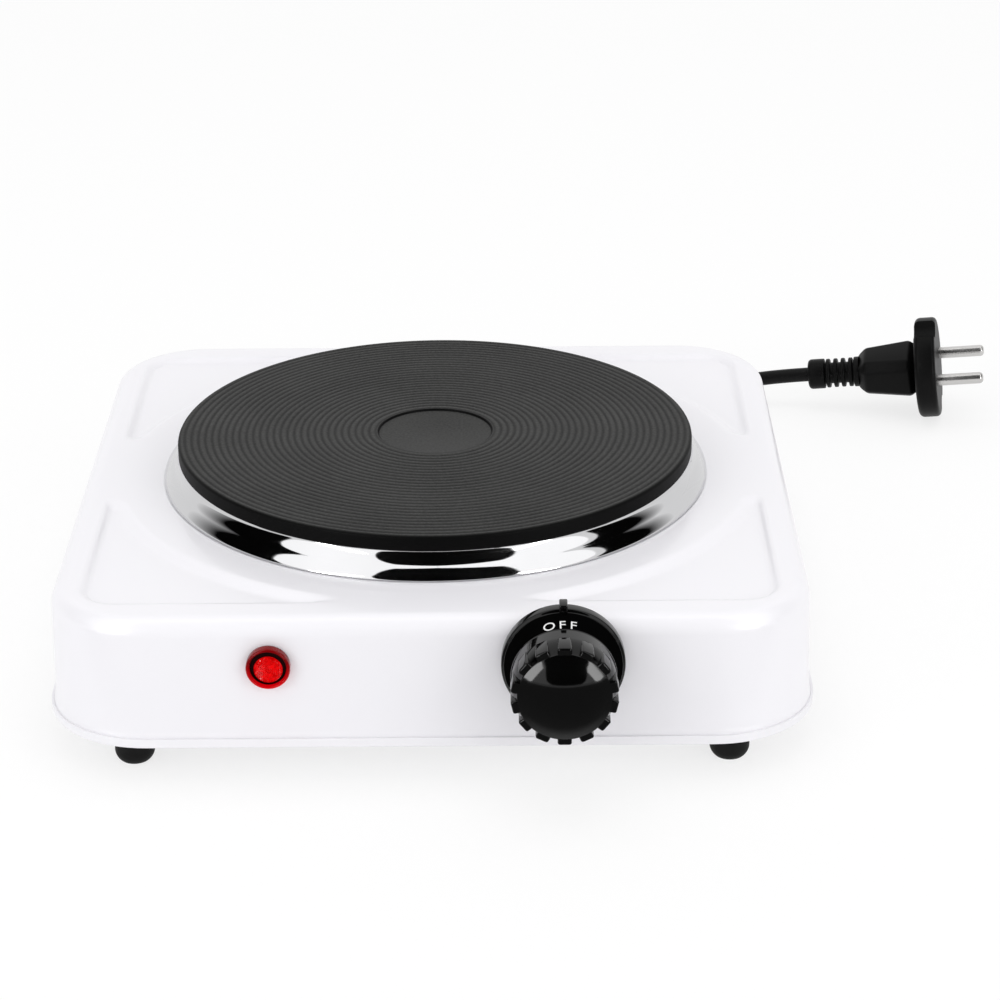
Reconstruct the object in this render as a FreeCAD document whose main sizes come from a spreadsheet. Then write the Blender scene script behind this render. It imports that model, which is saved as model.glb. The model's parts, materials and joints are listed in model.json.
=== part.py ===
"""Single electric hot plate: a cast iron plate in a pressed steel body, with its controls and mains lead."""
import FreeCAD, Part
import math
import os
import re

import Sketcher

Vec = FreeCAD.Vector
doc = FreeCAD.newDocument("hot_plate_burner")

# Driving dimensions, in millimetres and degrees
SIZES = {
    # Pressed steel body and its base
    "shell_width": 253.0,
    "shell_depth": 253.0,
    "shell_height": 45.0,
    "shell_corner": 33.0,
    "shell_edge": 6.0,
    "shell_sheet": 0.8,
    "wall_draft": 0.8,
    "flare_height": 10.0,
    "foot_flare": 0.8,
    "pan_overhang": 0.95,
    "pan_sheet": 0.8,
    "pan_rim_height": 3.3,
    "pan_edge": 0.6,
    "vent_count": 6,
    "vent_pitch": 14.0,
    "vent_length": 46.0,
    "vent_width": 4.0,
    "vent_offset": 62.0,
    # Recessed corner panels around the round platform
    "panel_margin_x": 11.2,
    "panel_margin_y": 15.1,
    "panel_corner": 12.0,
    "panel_depth": 1.8,
    "panel_bevel": 0.6,
    "panel_tip_x": 29.0,
    "panel_tip_y": 27.0,
    "panel_tip_run_x": 16.0,
    "panel_tip_run_y": 7.0,
    "platform_margin": 2.8,
    "platform_reach": 1.1,
    "platform_slope": 5.0,
    # Feet and their fasteners
    "foot_height": 12.3,
    "foot_inset_x": 26.8,
    "foot_inset_y": 14.5,
    "foot_top_diameter": 14.2,
    "foot_draft": 0.4,
    "foot_dome": 5.0,
    "foot_dome_height": 4.4,
    "foot_bottom_diameter": 9.8,
    "foot_bore_diameter": 7.6,
    "foot_bore_depth": 7.5,
    "screw_diameter": 4.0,
    "screw_head_diameter": 7.0,
    "screw_head_height": 2.4,
    "screw_play": 0.2,
    "nut_width": 7.0,
    "nut_height": 3.2,
    "thread_past_nut": 1.5,
    # Brackets that hold the body to the base
    "bracket_sheet": 1.2,
    "bracket_width": 22.0,
    "bracket_foot": 17.0,
    "bracket_rise": 26.0,
    "bracket_gap": 0.3,
    # Cast iron plate
    "plate_diameter": 185.0,
    "rim_thickness": 4.8,
    "rim_rounding": 1.2,
    "groove_count": 28,
    "groove_land": 2.95,
    "groove_width": 1.3,
    "groove_depth": 0.55,
    "groove_edge": 2.5,
    "disc_diameter": 41.8,
    "disc_depth": 0.5,
    "disc_bevel": 0.5,
    "casting_play": 2.0,
    "casting_depth": 11.6,
    "casting_draft": 1.0,
    "channel_inner": 22.0,
    "channel_wall": 4.0,
    "channel_depth": 8.0,
    "opening_margin": 2.0,
    # Chrome trim ring
    "ring_flare": 6.7,
    "ring_stand": 9.6,
    "ring_sheet": 0.6,
    "ring_lip": 0.8,
    "ring_tuck": 1.0,
    "ring_ledge": 7.5,
    "ring_curve": 10.5,
    # Heating coil, its filling and its cover
    "fill_play": 0.3,
    "coil_tube": 4.8,
    "coil_start": 30.0,
    "coil_margin": 11.0,
    "coil_half_turns": 6,
    "coil_height": 4.4,
    "cover_sheet": 0.8,
    "cover_margin": 1.0,
    # Plate fixing
    "stud_diameter": 6.0,
    "stud_depth": 9.0,
    "stud_play": 0.1,
    "bar_sheet": 2.0,
    "bar_width": 22.0,
    "bar_overlap": 14.0,
    "bar_seat": 11.0,
    "bar_slope": 12.0,
    "bar_drop": 8.0,
    "washer_diameter": 14.0,
    "washer_height": 1.4,
    "stud_nut_width": 10.0,
    "stud_nut_height": 5.0,
    # Plate terminals
    "pin_diameter": 3.0,
    "pin_drop": 4.5,
    "block_width": 13.0,
    "block_height": 9.0,
    "block_end": 6.0,
    "block_edge": 2.0,
    # Knob
    "knob_x": 43.5,
    "knob_z": 43.8,
    "knob_gap": 1.6,
    "skirt_diameter": 40.4,
    "skirt_thickness": 5.4,
    "skirt_edge": 0.8,
    "cone_length": 6.0,
    "barrel_diameter": 34.2,
    "barrel_length": 21.0,
    "barrel_front_diameter": 30.0,
    "dome_height": 4.8,
    "rib_count": 14,
    "rib_width": 3.4,
    "rib_tip_diameter": 34.6,
    "rib_root": 4.5,
    "index_width": 2.0,
    "index_proud": 1.4,
    "hollow_diameter": 32.0,
    "hollow_depth": 15.0,
    "hollow_taper": 3.0,
    "hub_diameter": 13.0,
    "hub_recess": 5.5,
    "knob_bore_depth": 22.0,
    # Spindle, bush and thermostat
    "spindle_diameter": 6.0,
    "spindle_flat": 1.6,
    "spindle_flat_spare": 0.6,
    "spindle_play": 0.1,
    "cam_diameter": 10.0,
    "cam_height": 2.4,
    "cam_gap": 0.4,
    "bush_diameter": 9.6,
    "bush_play": 0.3,
    "bush_reach": 4.6,
    "bush_flange": 14.0,
    "bush_flange_height": 1.6,
    "bush_nut_width": 14.0,
    "bush_nut_height": 2.4,
    "bush_nut_gap": 0.25,
    "clip_sheet": 0.6,
    "clip_width": 4.0,
    "clip_length": 9.0,
    "clip_play": 0.1,
    "stat_sheet": 1.2,
    "stat_gap": 0.55,
    "stat_width": 26.0,
    "stat_height": 18.0,
    "stat_length": 14.0,
    "stat_space": 3.0,
    "stat_edge": 1.5,
    "rod_diameter": 3.0,
    "rod_play": 0.1,
    "rivet_diameter": 3.0,
    "rivet_head": 5.4,
    "rivet_head_height": 1.0,
    "blade_sheet": 0.6,
    "blade_width": 7.0,
    "blade_foot": 4.4,
    "blade_step": 1.4,
    "blade_run": 2.0,
    "blade_tab": 8.0,
    "contact_gap": 0.5,
    "contact_diameter": 3.2,
    "contact_height": 0.8,
    "bimetal_sheet": 1.0,
    "bimetal_width": 9.0,
    "bimetal_reach": 26.0,
    # Pilot lamp
    "lamp_x": -52.4,
    "lamp_z": 41.8,
    "lamp_diameter": 14.8,
    "lamp_flange": 3.0,
    "lamp_edge": 1.2,
    "lamp_window": 11.0,
    "lamp_window_depth": 1.2,
    "lamp_dome": 0.9,
    "lamp_barrel": 10.0,
    "lamp_length": 19.0,
    "lamp_bore": 7.4,
    "lamp_front_wall": 1.4,
    "lamp_hole_play": 0.4,
    "lamp_seat_gap": 0.2,
    "lamp_clip_diameter": 15.0,
    "lamp_clip_sheet": 0.6,
    "neon_diameter": 6.4,
    "neon_length": 13.0,
    "neon_gap": 0.5,
    # Supply inside the body
    "supply_inset": 56.5,
    "terminal_inset": 42.5,
    "terminal_width": 24.0,
    "terminal_depth": 18.0,
    "terminal_height": 13.0,
    "terminal_edge": 1.5,
    "terminal_pitch": 11.0,
    "terminal_screw": 4.6,
    "terminal_screw_sink": 1.0,
    "terminal_screw_depth": 6.0,
    "wire_diameter": 2.6,
    "wire_gap": 0.3,
    "wire_height": 5.5,
    "wire_entry": 5.0,
    "wire_run": 9.0,
    # Mains lead
    "gland_z": 32.8,
    "gland_neck": 11.0,
    "gland_play": 0.3,
    "gland_gap": 0.2,
    "gland_flange": 16.0,
    "gland_flange_height": 2.6,
    "gland_tail": 8.0,
    "gland_sleeve": 20.0,
    "gland_sleeve_root": 10.6,
    "gland_sleeve_end": 8.2,
    "gland_rib_count": 4,
    "gland_rib_depth": 0.9,
    "cord_diameter": 6.0,
    "lead_run": 18.7,
    "tail_run": 20.0,
    "hank_x": -10.0,
    "hank_clearance": 38.95,
    "hank_radius": 36.0,
    "hank_pitch": 6.6,
    "hank_turns": 1,
    "tie_sheet": 0.8,
    "tie_width": 5.0,
    "tie_play": 0.3,
    "tie_side_play": 1.0,
    # Plug
    "plug_aside": 77.75,
    "plug_behind": 59.05,
    "plug_yaw": 10.6,
    "plug_tilt": 7.4,
    "plug_roll": 16.7,
    "plug_flange": 42.4,
    "plug_flange_height": 7.5,
    "plug_flange_edge": 1.4,
    "plug_notch_width": 8.0,
    "plug_notch_depth": 4.0,
    "plug_body_length": 28.2,
    "plug_body_front_x": 20.0,
    "plug_body_front_y": 23.0,
    "plug_body_back_x": 16.0,
    "plug_body_back_y": 18.6,
    "plug_body_bevel": 5.0,
    "plug_neck": 9.0,
    "plug_rib": 12.4,
    "plug_rib_count": 4,
    "plug_rib_pitch": 3.2,
    "plug_rib_width": 1.7,
    "plug_collar": 12.8,
    "plug_collar_length": 7.0,
    "plug_collar_bevel": 1.6,
    "prong_diameter": 4.8,
    "prong_length": 19.0,
    "prong_spacing": 19.0,
    "prong_root": 4.0,
    "prong_depth": 6.0,
    "prong_tip": 1.6,
    "prong_play": 0.05,
}

# Places and sizes that follow from the driving dimensions
LAYOUT = {
    "shell_x": "shell_width / 2",
    "shell_y": "shell_depth / 2",
    "foot_spread": "wall_draft + foot_flare",
    "panel_x": "shell_x - panel_margin_x",
    "panel_y": "shell_y - panel_margin_y",
    "platform_radius": "min(panel_x - platform_margin; panel_y + platform_reach)",
    "foot_x": "shell_x - foot_inset_x",
    "foot_y": "shell_y - foot_inset_y",
    "pan_x": "shell_x + foot_spread + pan_overhang",
    "pan_y": "shell_y + foot_spread + pan_overhang",
    "pan_corner": "shell_corner + foot_spread + pan_overhang",
    "floor_z": "foot_height + pan_sheet",
    "flare_z": "floor_z + flare_height",
    "top_z": "foot_height + shell_height",
    "under_z": "top_z - shell_sheet",
    "rim_z": "top_z + ring_stand",
    "plate_z": "rim_z + rim_thickness",
    "groove_pitch": "(plate_diameter / 2 - groove_edge - disc_diameter / 2 - groove_land)"
                    " / (groove_count - 1)",
    "ring_neck": "plate_diameter - 2 * ring_tuck",
    "ring_diameter": "ring_neck + 2 * ring_flare",
    "ring_seat": "ring_neck - 2 * ring_ledge",
    "plate_opening": "ring_seat + 2 * opening_margin",
    "casting_diameter": "ring_seat - 2 * casting_play",
    "channel_outer": "casting_diameter / 2 - casting_draft - channel_wall",
    "cast_z": "rim_z - casting_depth",
    "cover_z": "cast_z - cover_sheet",
    "draft_rate": "wall_draft / (top_z - flare_z)",
    "wall_at_knob": "shell_y + draft_rate * (top_z - knob_z)",
    "wall_at_lamp": "shell_y + draft_rate * (top_z - lamp_z)",
    "wall_at_gland": "shell_y + draft_rate * (top_z - gland_z)",
    "bracket_x": "shell_x - shell_sheet + draft_rate * (top_z - floor_z - bracket_rise) - bracket_gap",
    "bracket_hole_x": "bracket_x - (bracket_foot + bracket_sheet) / 2",
    "knob_back": "wall_at_knob + knob_gap",
    "knob_length": "skirt_thickness + barrel_length + dome_height",
    "knob_front": "knob_back + knob_length",
    "centre_y": "(knob_front - pan_y) / 2",
    "stat_front": "wall_at_knob - shell_sheet - stat_gap",
    "bush_back": "stat_front - stat_sheet - bush_flange_height",
    "cam_back": "bush_back - cam_gap - cam_height",
    "rod_front": "cam_back - cam_gap",
    "stat_back": "cam_back - stat_space - stat_length",
    "flat_length": "knob_bore_depth - hub_recess + spindle_flat_spare",
    "spindle_front": "knob_back + knob_bore_depth - spindle_play",
    "coil_z": "cast_z + coil_height",
    "coil_end": "channel_outer - coil_margin",
    "coil_step": "(coil_end - coil_start) / coil_half_turns",
    "bar_half_length": "plate_opening / 2 + bar_overlap",
    "bar_z": "under_z - bar_drop",
    "pin_top_z": "coil_z - coil_tube / 2 - fill_play",
    "pin_bottom_z": "cover_z - block_height - pin_drop",
    "terminal_x": "shell_x - supply_inset",
    "terminal_y": "shell_y - terminal_inset",
    "gland_x": "shell_x - supply_inset",
    "gland_end": "wall_at_gland + gland_flange_height + gland_sleeve",
    "hank_y": "pan_y + hank_clearance + hank_radius",
    "plug_x": "pan_x + plug_aside",
    "plug_y": "pan_y + plug_behind",
    "lay_low_z": "tie_sheet + tie_play + cord_diameter / 2",
    "lay_high_z": "lay_low_z + hank_pitch",
    "plug_z": "plug_flange_edge + (plug_flange / 2 - plug_flange_edge) * cos(plug_tilt)"
              " + (plug_flange_height / 2 - plug_flange_edge) * sin(plug_tilt)",
    "plug_collar_end": "plug_flange_height / 2 + plug_body_length + plug_rib_count * plug_rib_pitch"
                       " + plug_collar_length",
}


def with_sheet(formula, homes):
    """Put the sheet's name in front of every size that a formula mentions."""
    return re.sub(r"[a-z][a-z_]*", lambda word: homes.get(word[0], "") + word[0], formula)


def fill_sheet(name, cells):
    """Make a sheet of named cells."""
    sheet = doc.addObject("Spreadsheet::Sheet", name)
    for row, (alias, content) in enumerate(cells.items(), start=1):
        sheet.set(f"A{row}", alias)
        sheet.set(f"B{row}", str(content))
        sheet.setAlias(f"B{row}", alias)
    return sheet


SIZE_HOMES = {name: "sizes." for name in SIZES}
ALL_HOMES = SIZE_HOMES | {name: "layout." for name in LAYOUT}
sizes = fill_sheet("sizes", SIZES)
layout = fill_sheet("layout", {name: "=" + with_sheet(text, SIZE_HOMES) for name, text in LAYOUT.items()})
doc.recompute()


def bound(text):
    """The sheet formula for a size written in plain names."""
    return with_sheet(str(text), ALL_HOMES)


def number(text):
    """The present value of a size written in plain names."""
    return float(layout.evalExpression(bound(text)))


nodes = []


def keep(item, label):
    """Give a finished sub-part its name and list it for export."""
    item.Label = label
    nodes.append(item)
    return item


def place(item, x="0", y="centre_y", z="0", rotation=None):
    """Set where a sub-part stands; y is measured from the middle of the whole object."""
    item.Placement = FreeCAD.Placement(Vec(), rotation or FreeCAD.Rotation())
    for axis, text in zip("xyz", (x, y, z)):
        item.setExpression(f"Placement.Base.{axis}", bound(text))
    return item


FACING_FRONT = FreeCAD.Rotation(Vec(1, 0, 0), 90)
FACING_BACK = FreeCAD.Rotation(Vec(1, 0, 0), -90)


def new_body(name):
    """An empty body."""
    return doc.addObject("PartDesign::Body", name)


def sketch_on(body, plane, height="0"):
    """An empty sketch on one of the body's own planes, or parallel to it."""
    sketch = body.newObject("Sketcher::SketchObject", body.Name + "_sketch")
    support = next(item for item in body.Origin.OriginFeatures if item.Role == plane + "_Plane")
    sketch.AttachmentSupport = [(support, "")]
    sketch.MapMode = "FlatFace"
    sketch.setExpression("AttachmentOffset.Base.z", bound(height))
    return sketch


def bind(sketch, wanted):
    """Add dimensions (kind, references, formula) to a sketch, each bound to the sheets."""
    rules = [Sketcher.Constraint(kind, *where, number(text)) for kind, where, text in wanted]
    for index, (_, _, text) in zip(sketch.addConstraint(rules), wanted):
        sketch.setExpression(f"Constraints[{index}]", bound(text))


def arc_between(start, end, radius, turn):
    """The short arc from start to end, turning left or right."""
    chord = end - start
    side = Vec(-chord.y, chord.x, 0).normalize()
    rise = math.sqrt(max(radius ** 2 - (chord.Length / 2) ** 2, 0))
    centre = start + chord * 0.5 + side * (rise if turn == "left" else -rise)
    first, last = (start, end) if turn == "left" else (end, start)
    angles = [math.atan2(point.y - centre.y, point.x - centre.x) for point in (first, last)]
    return Part.ArcOfCircle(Part.Circle(centre, Vec(0, 0, 1), radius), *angles)


def draw_path(sketch, corners):
    """Draw a closed outline. A corner (x, y) ends a straight edge and (x, y, radius, turn) ends an arc."""
    spots = [Vec(number(corner[0]), number(corner[1]), 0) for corner in corners]
    edges = []
    for index, corner in enumerate(corners):
        if len(corner) == 2:
            edge = sketch.addGeometry(Part.LineSegment(spots[index - 1], spots[index]), False)
            edges.append((edge, 1, 2))
        else:
            arc = arc_between(spots[index - 1], spots[index], number(corner[2]), corner[3])
            edge = sketch.addGeometry(arc, False)
            edges.append((edge, 1, 2) if corner[3] == "left" else (edge, 2, 1))
    joins = []
    wanted = []
    for index, (edge, _, last) in enumerate(edges):
        following, first, _ = edges[(index + 1) % len(edges)]
        joins.append(Sketcher.Constraint("Coincident", edge, last, following, first))
        wanted.append(("DistanceX", (-1, 1, edge, last), corners[index][0]))
        wanted.append(("DistanceY", (-1, 1, edge, last), corners[index][1]))
        if len(corners[index]) == 4:
            wanted.append(("Radius", (edge,), corners[index][2]))
    sketch.addConstraint(joins)
    bind(sketch, wanted)
    return sketch


def draw_circle(sketch, diameter, x="0", y="0"):
    """Draw a circle at a bound place."""
    circle = Part.Circle(Vec(number(x), number(y), 0), Vec(0, 0, 1), number(diameter) / 2)
    edge = sketch.addGeometry(circle, False)
    bind(sketch, [("DistanceX", (-1, 1, edge, 3), x),
                  ("DistanceY", (-1, 1, edge, 3), y),
                  ("Diameter", (edge,), diameter)])
    return sketch


def draw_box(sketch, low_x, low_y, high_x, high_y):
    """Draw an upright rectangle from its two corners."""
    return draw_path(sketch, [(low_x, low_y), (high_x, low_y), (high_x, high_y), (low_x, high_y)])


def draw_round_box(sketch, half_x, half_y, radius):
    """Draw a rectangle with rounded corners about the sketch's centre."""
    in_x = f"({half_x} - ({radius}))"
    in_y = f"({half_y} - ({radius}))"
    return draw_path(sketch, [
        (f"{half_x}", f"{in_y}"),
        (f"{in_x}", f"{half_y}", radius, "left"),
        (f"-{in_x}", f"{half_y}"),
        (f"-({half_x})", f"{in_y}", radius, "left"),
        (f"-({half_x})", f"-{in_y}"),
        (f"-{in_x}", f"-({half_y})", radius, "left"),
        (f"{in_x}", f"-({half_y})"),
        (f"{half_x}", f"-{in_y}", radius, "left"),
    ])


def draw_slot(sketch, x, y, width, length):
    """Draw a slot with round ends, its long way along Y."""
    reach = f"({length} - {width}) / 2"
    return draw_path(sketch, [
        (f"{x} + {width} / 2", f"{y} + {reach}"),
        (x, f"{y} + {reach} + {width} / 2", f"{width} / 2", "left"),
        (f"{x} - {width} / 2", f"{y} + {reach}", f"{width} / 2", "left"),
        (f"{x} - {width} / 2", f"{y} - {reach}"),
        (x, f"{y} - {reach} - {width} / 2", f"{width} / 2", "left"),
        (f"{x} + {width} / 2", f"{y} - {reach}", f"{width} / 2", "left"),
    ])


def draw_hexagon(sketch, across_flats):
    """Draw a hexagon by its width across flats."""
    corners = []
    for step in range(6):
        reach = f"({across_flats}) / (2 * cos(30))"
        corners.append((f"{reach} * cos({60 * step})", f"{reach} * sin({60 * step})"))
    return draw_path(sketch, corners)


def pad(body, sketch, length, reverse=False, middle=False):
    """Raise a sketch into a solid."""
    item = body.newObject("PartDesign::Pad", body.Name + "_pad")
    item.Profile = sketch
    item.setExpression("Length", bound(length))
    item.Reversed = reverse
    item.SideType = "Symmetric" if middle else "One side"
    return item


def pocket(body, sketch, length=None, reverse=False, middle=False):
    """Cut a sketch into the solid, right through where no length is given."""
    item = body.newObject("PartDesign::Pocket", body.Name + "_pocket")
    item.Profile = sketch
    if length is None:
        item.Type = "ThroughAll"
    else:
        item.setExpression("Length", bound(length))
    item.Reversed = reverse
    item.SideType = "Symmetric" if middle else "One side"
    return item


def revolve(body, corners):
    """Turn an outline of (radius, height) corners about the body's own Z axis."""
    sketch = draw_path(sketch_on(body, "XZ"), corners)
    item = body.newObject("PartDesign::Revolution", body.Name + "_turned")
    item.Profile = sketch
    item.ReferenceAxis = (sketch, ["V_Axis"])
    item.Angle = 360
    return item


def loft(body, sketches, kind="PartDesign::AdditiveLoft"):
    """Join the outlines of several sketches by ruled faces."""
    item = body.newObject(kind, body.Name + "_loft")
    item.Profile = sketches[0]
    item.Sections = sketches[1:]
    item.Ruled = True
    return item


def around(body, feature, count):
    """Repeat a feature around the body's Z axis."""
    axis = next(item for item in body.Origin.OriginFeatures if item.Role == "Z_Axis")
    item = body.newObject("PartDesign::PolarPattern", body.Name + "_around")
    item.Originals = [feature]
    item.Axis = (axis, [""])
    item.Angle = 360
    item.setExpression("Occurrences", bound(count))
    body.Tip = item
    return item


def along(body, feature, axis_role, pitch, count):
    """Repeat a feature along one of the body's axes."""
    axis = next(item for item in body.Origin.OriginFeatures if item.Role == axis_role)
    item = body.newObject("PartDesign::LinearPattern", body.Name + "_along")
    item.Originals = [feature]
    item.Direction = (axis, [""])
    item.setExpression("Length", bound(f"({pitch}) * ({count} - 1)"))
    item.setExpression("Occurrences", bound(count))
    body.Tip = item
    return item


def round_edges(body, base, radius, wanted):
    """Fillet the edges of a feature that pass a test."""
    doc.recompute()
    names = [f"Edge{index}" for index, edge in enumerate(base.Shape.Edges, start=1) if wanted(edge)]
    item = body.newObject("PartDesign::Fillet", body.Name + "_round")
    item.Base = (base, names)
    item.setExpression("Radius", bound(radius))
    return item


def flat_at(z):
    """A test for edges that lie at one height."""
    return lambda edge: edge.BoundBox.ZLength < 0.001 and abs(edge.BoundBox.ZMin - z) < 0.001


def upright(edge):
    """Whether an edge runs straight up."""
    box = edge.BoundBox
    return box.ZLength > 0.001 and max(box.XLength, box.YLength) < 0.001


def turned(label, corners, **where):
    """A sub-part turned from an outline of (radius, height) corners."""
    body = new_body(label)
    revolve(body, corners)
    return keep(place(body, **where), label)


def cylinder(diameter, length, **where):
    """A plain cylinder along Z, used as a cutter or a pin."""
    item = doc.addObject("Part::Cylinder", "round")
    item.setExpression("Radius", bound(f"({diameter}) / 2"))
    item.setExpression("Height", bound(length))
    return place(item, **where)


def cut(base, tools, label):
    """Take tools out of a base solid."""
    joined = doc.addObject("Part::MultiFuse", label + "_cutters")
    joined.Shapes = tools
    item = doc.addObject("Part::Cut", label)
    item.Base = base
    item.Tool = joined
    return keep(item, label)


def group(pieces, label):
    """Separate solids that share one node."""
    item = doc.addObject("Part::Compound", label)
    item.Links = pieces
    return keep(item, label)


# Tubes along wires and cords; the arc at a corner takes this share of the shorter run beside it

ARC_SHARE = 0.45


def rounded_path(points):
    """Straight runs joined by the largest tangent arcs that the runs allow, with the arcs' radii."""
    edges = []
    radii = []
    last = points[0]
    for before, corner, after in zip(points, points[1:], points[2:]):
        back = before - corner
        ahead = after - corner
        bend = math.pi - back.getAngle(ahead)
        trim = ARC_SHARE * min(back.Length, ahead.Length)
        radii.append(trim / math.tan(bend / 2))
        back.normalize()
        ahead.normalize()
        start = corner + back * trim
        end = corner + ahead * trim
        inward = (back + ahead).normalize()
        middle = corner + inward * (math.hypot(trim, radii[-1]) - radii[-1])
        edges.append(Part.LineSegment(last, start).toShape())
        edges.append(Part.Arc(start, middle, end).toShape())
        last = end
    edges.append(Part.LineSegment(last, points[-1]).toShape())
    return edges, radii


def pipe(edges, diameter):
    """A round tube along joined edges, checked against its section times its length."""
    path = Part.Wire(edges)
    start = edges[0].valueAt(edges[0].FirstParameter)
    heading = edges[0].tangentAt(edges[0].FirstParameter)
    ring = Part.Wire(Part.makeCircle(diameter / 2, start, heading))
    shape = Part.Solid(path.makePipeShell([ring], True, False).Shells[0])
    wanted = math.pi * diameter ** 2 / 4 * path.Length
    assert abs(shape.Volume / wanted - 1) < 0.01, "tube volume"
    return shape


def tube(label, points, diameter):
    """A wire or cord along hand-picked points, in the frame of the plate's axis."""
    edges, radii = rounded_path([Vec(*point) for point in points])
    length = sum(edge.Length for edge in edges)
    print(label, "length", round(length, 1), "radii", [round(radius, 1) for radius in radii])
    item = doc.addObject("Part::Feature", label)
    item.Shape = pipe(edges, diameter)
    return place(item)


# Base pan: a shallow tray with a hemmed rim, vent slots and fastening holes


def make_base_pan():
    body = new_body("base_pan")
    tray = pad(body, draw_round_box(sketch_on(body, "XY"), "pan_x", "pan_y", "pan_corner"), "pan_rim_height")
    round_edges(body, tray, "pan_edge", flat_at(0))
    inner = draw_round_box(sketch_on(body, "XY", "pan_sheet"), "pan_x - pan_sheet", "pan_y - pan_sheet",
                           "pan_corner - pan_sheet")
    pocket(body, inner, "pan_rim_height", reverse=True)
    holes = sketch_on(body, "XY")
    for side in ("", "-"):
        for end in ("", "-"):
            draw_circle(holes, "screw_diameter + screw_play", f"{side}foot_x", f"{end}foot_y")
        draw_circle(holes, "screw_diameter + screw_play", f"{side}bracket_hole_x")
    pocket(body, holes, reverse=True)
    first = "vent_pitch * (vent_count - 1) / 2"
    for end in ("", "-"):
        slot = draw_slot(sketch_on(body, "XY"), f"-{first}", f"{end}vent_offset", "vent_width", "vent_length")
        along(body, pocket(body, slot, reverse=True), "X_Axis", "vent_pitch", "vent_count")
    keep(place(body, z="foot_height"), "base_pan")


# Pressed body: a drafted, flared box with rounded edges and four recessed corner panels


def draw_panel(sketch, side_x, side_y, grow, tip_x, tip_y, radius):
    """One corner panel: two straight sides, a rounded corner, two tips and the round platform's arc."""
    near, far = ("left", "right") if side_x * side_y > 0 else ("right", "left")
    edge_x = f"(panel_x + {grow})"
    edge_y = f"(panel_y + {grow})"
    corner = f"(panel_corner + {grow})"
    return draw_path(sketch, [
        (f"{side_x} * {edge_x}", f"{side_y} * ({tip_y})"),
        (f"{side_x} * {edge_x}", f"{side_y} * ({edge_y} - {corner})"),
        (f"{side_x} * ({edge_x} - {corner})", f"{side_y} * {edge_y}", corner, near),
        (f"{side_x} * ({tip_x})", f"{side_y} * {edge_y}"),
        (f"{side_x} * ({tip_x})", f"{side_y} * sqrt(({radius}) ^ 2 - ({tip_x}) ^ 2)"),
        (f"{side_x} * sqrt(({radius}) ^ 2 - ({tip_y}) ^ 2)", f"{side_y} * ({tip_y})", radius, far),
    ])


def drafted(body, skin, top, bottom, spread_top, spread_bottom):
    """A round-cornered block that grows from spread_top to spread_bottom on its way down."""
    outline = draw_round_box(sketch_on(body, "XY", top), f"shell_x + {spread_top} - {skin}",
                             f"shell_y + {spread_top} - {skin}", f"shell_corner + {spread_top} - {skin}")
    height = f"(({top}) - ({bottom}))"
    block = pad(body, outline, height, reverse=True)
    block.setExpression("TaperAngle", bound(f"atan(({spread_bottom} - {spread_top}) / {height})"))
    return block


def shell_block(label, skin, bottom):
    """The pressed body's outer form, or the space inside it where skin is the sheet's thickness."""
    body = new_body(label)
    walls = drafted(body, skin, f"top_z - {skin}", "flare_z", "0", "wall_draft")
    round_edges(body, walls, f"shell_edge - {skin}", flat_at(number(f"top_z - {skin}")))
    drafted(body, skin, "flare_z", bottom, "wall_draft", "foot_spread")
    for side_x in (1, -1):
        for side_y in (1, -1):
            rim = draw_panel(sketch_on(body, "XY", f"top_z - {skin}"), side_x, side_y,
                             f"panel_bevel + {skin}", f"panel_tip_x - {skin}",
                             f"panel_tip_y - {skin}", f"platform_radius - {skin}")
            floor = draw_panel(sketch_on(body, "XY", f"top_z - {skin} - panel_depth"), side_x, side_y,
                               f"{skin} - panel_bevel", f"panel_tip_x + panel_tip_run_x - {skin}",
                               f"panel_tip_y + panel_tip_run_y - {skin}",
                               f"platform_radius + platform_slope - {skin}")
            loft(body, [rim, floor], "PartDesign::SubtractiveLoft")
    return body


def wall_hole(diameter, x, wall, z, rotation):
    """A cutter through the front or rear wall."""
    side = "-" if rotation is FACING_FRONT else ""
    return cylinder(diameter, "2 * shell_edge", x=x, y=f"{side}({wall} - shell_edge)", z=z, rotation=rotation)


def make_top_shell():
    outside = shell_block("shell_outside", "0", "floor_z")
    inside = shell_block("shell_inside", "shell_sheet", "floor_z - pan_sheet")
    opening = cylinder("plate_opening", "2 * shell_edge", y="0", z="top_z - shell_edge")
    holes = [
        wall_hole("lamp_barrel + lamp_hole_play", "lamp_x", "wall_at_lamp", "lamp_z", FACING_FRONT),
        wall_hole("bush_diameter + bush_play", "knob_x", "wall_at_knob", "knob_z", FACING_FRONT),
        wall_hole("gland_neck + gland_play", "gland_x", "wall_at_gland", "gland_z", FACING_BACK),
    ]
    place(cut(outside, [inside, opening] + holes, "top_shell"))


# Feet, their screws and nuts, and the brackets that hold the body to the base


def make_feet():
    corners = [
        ("foot_bottom_diameter / 2", "0"),
        ("foot_top_diameter / 2 - foot_draft", "foot_dome_height", "foot_dome", "left"),
        ("foot_top_diameter / 2", "foot_height"),
        ("(screw_diameter + screw_play) / 2", "foot_height"),
        ("(screw_diameter + screw_play) / 2", "foot_bore_depth"),
        ("foot_bore_diameter / 2", "foot_bore_depth"),
        ("foot_bore_diameter / 2", "0"),
    ]
    for end, end_name in (("-", "front"), ("", "rear")):
        for side, side_name in (("-", "left"), ("", "right")):
            turned(f"foot_{end_name}_{side_name}", corners, x=f"{side}foot_x", y=f"centre_y + {end}foot_y")


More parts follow.
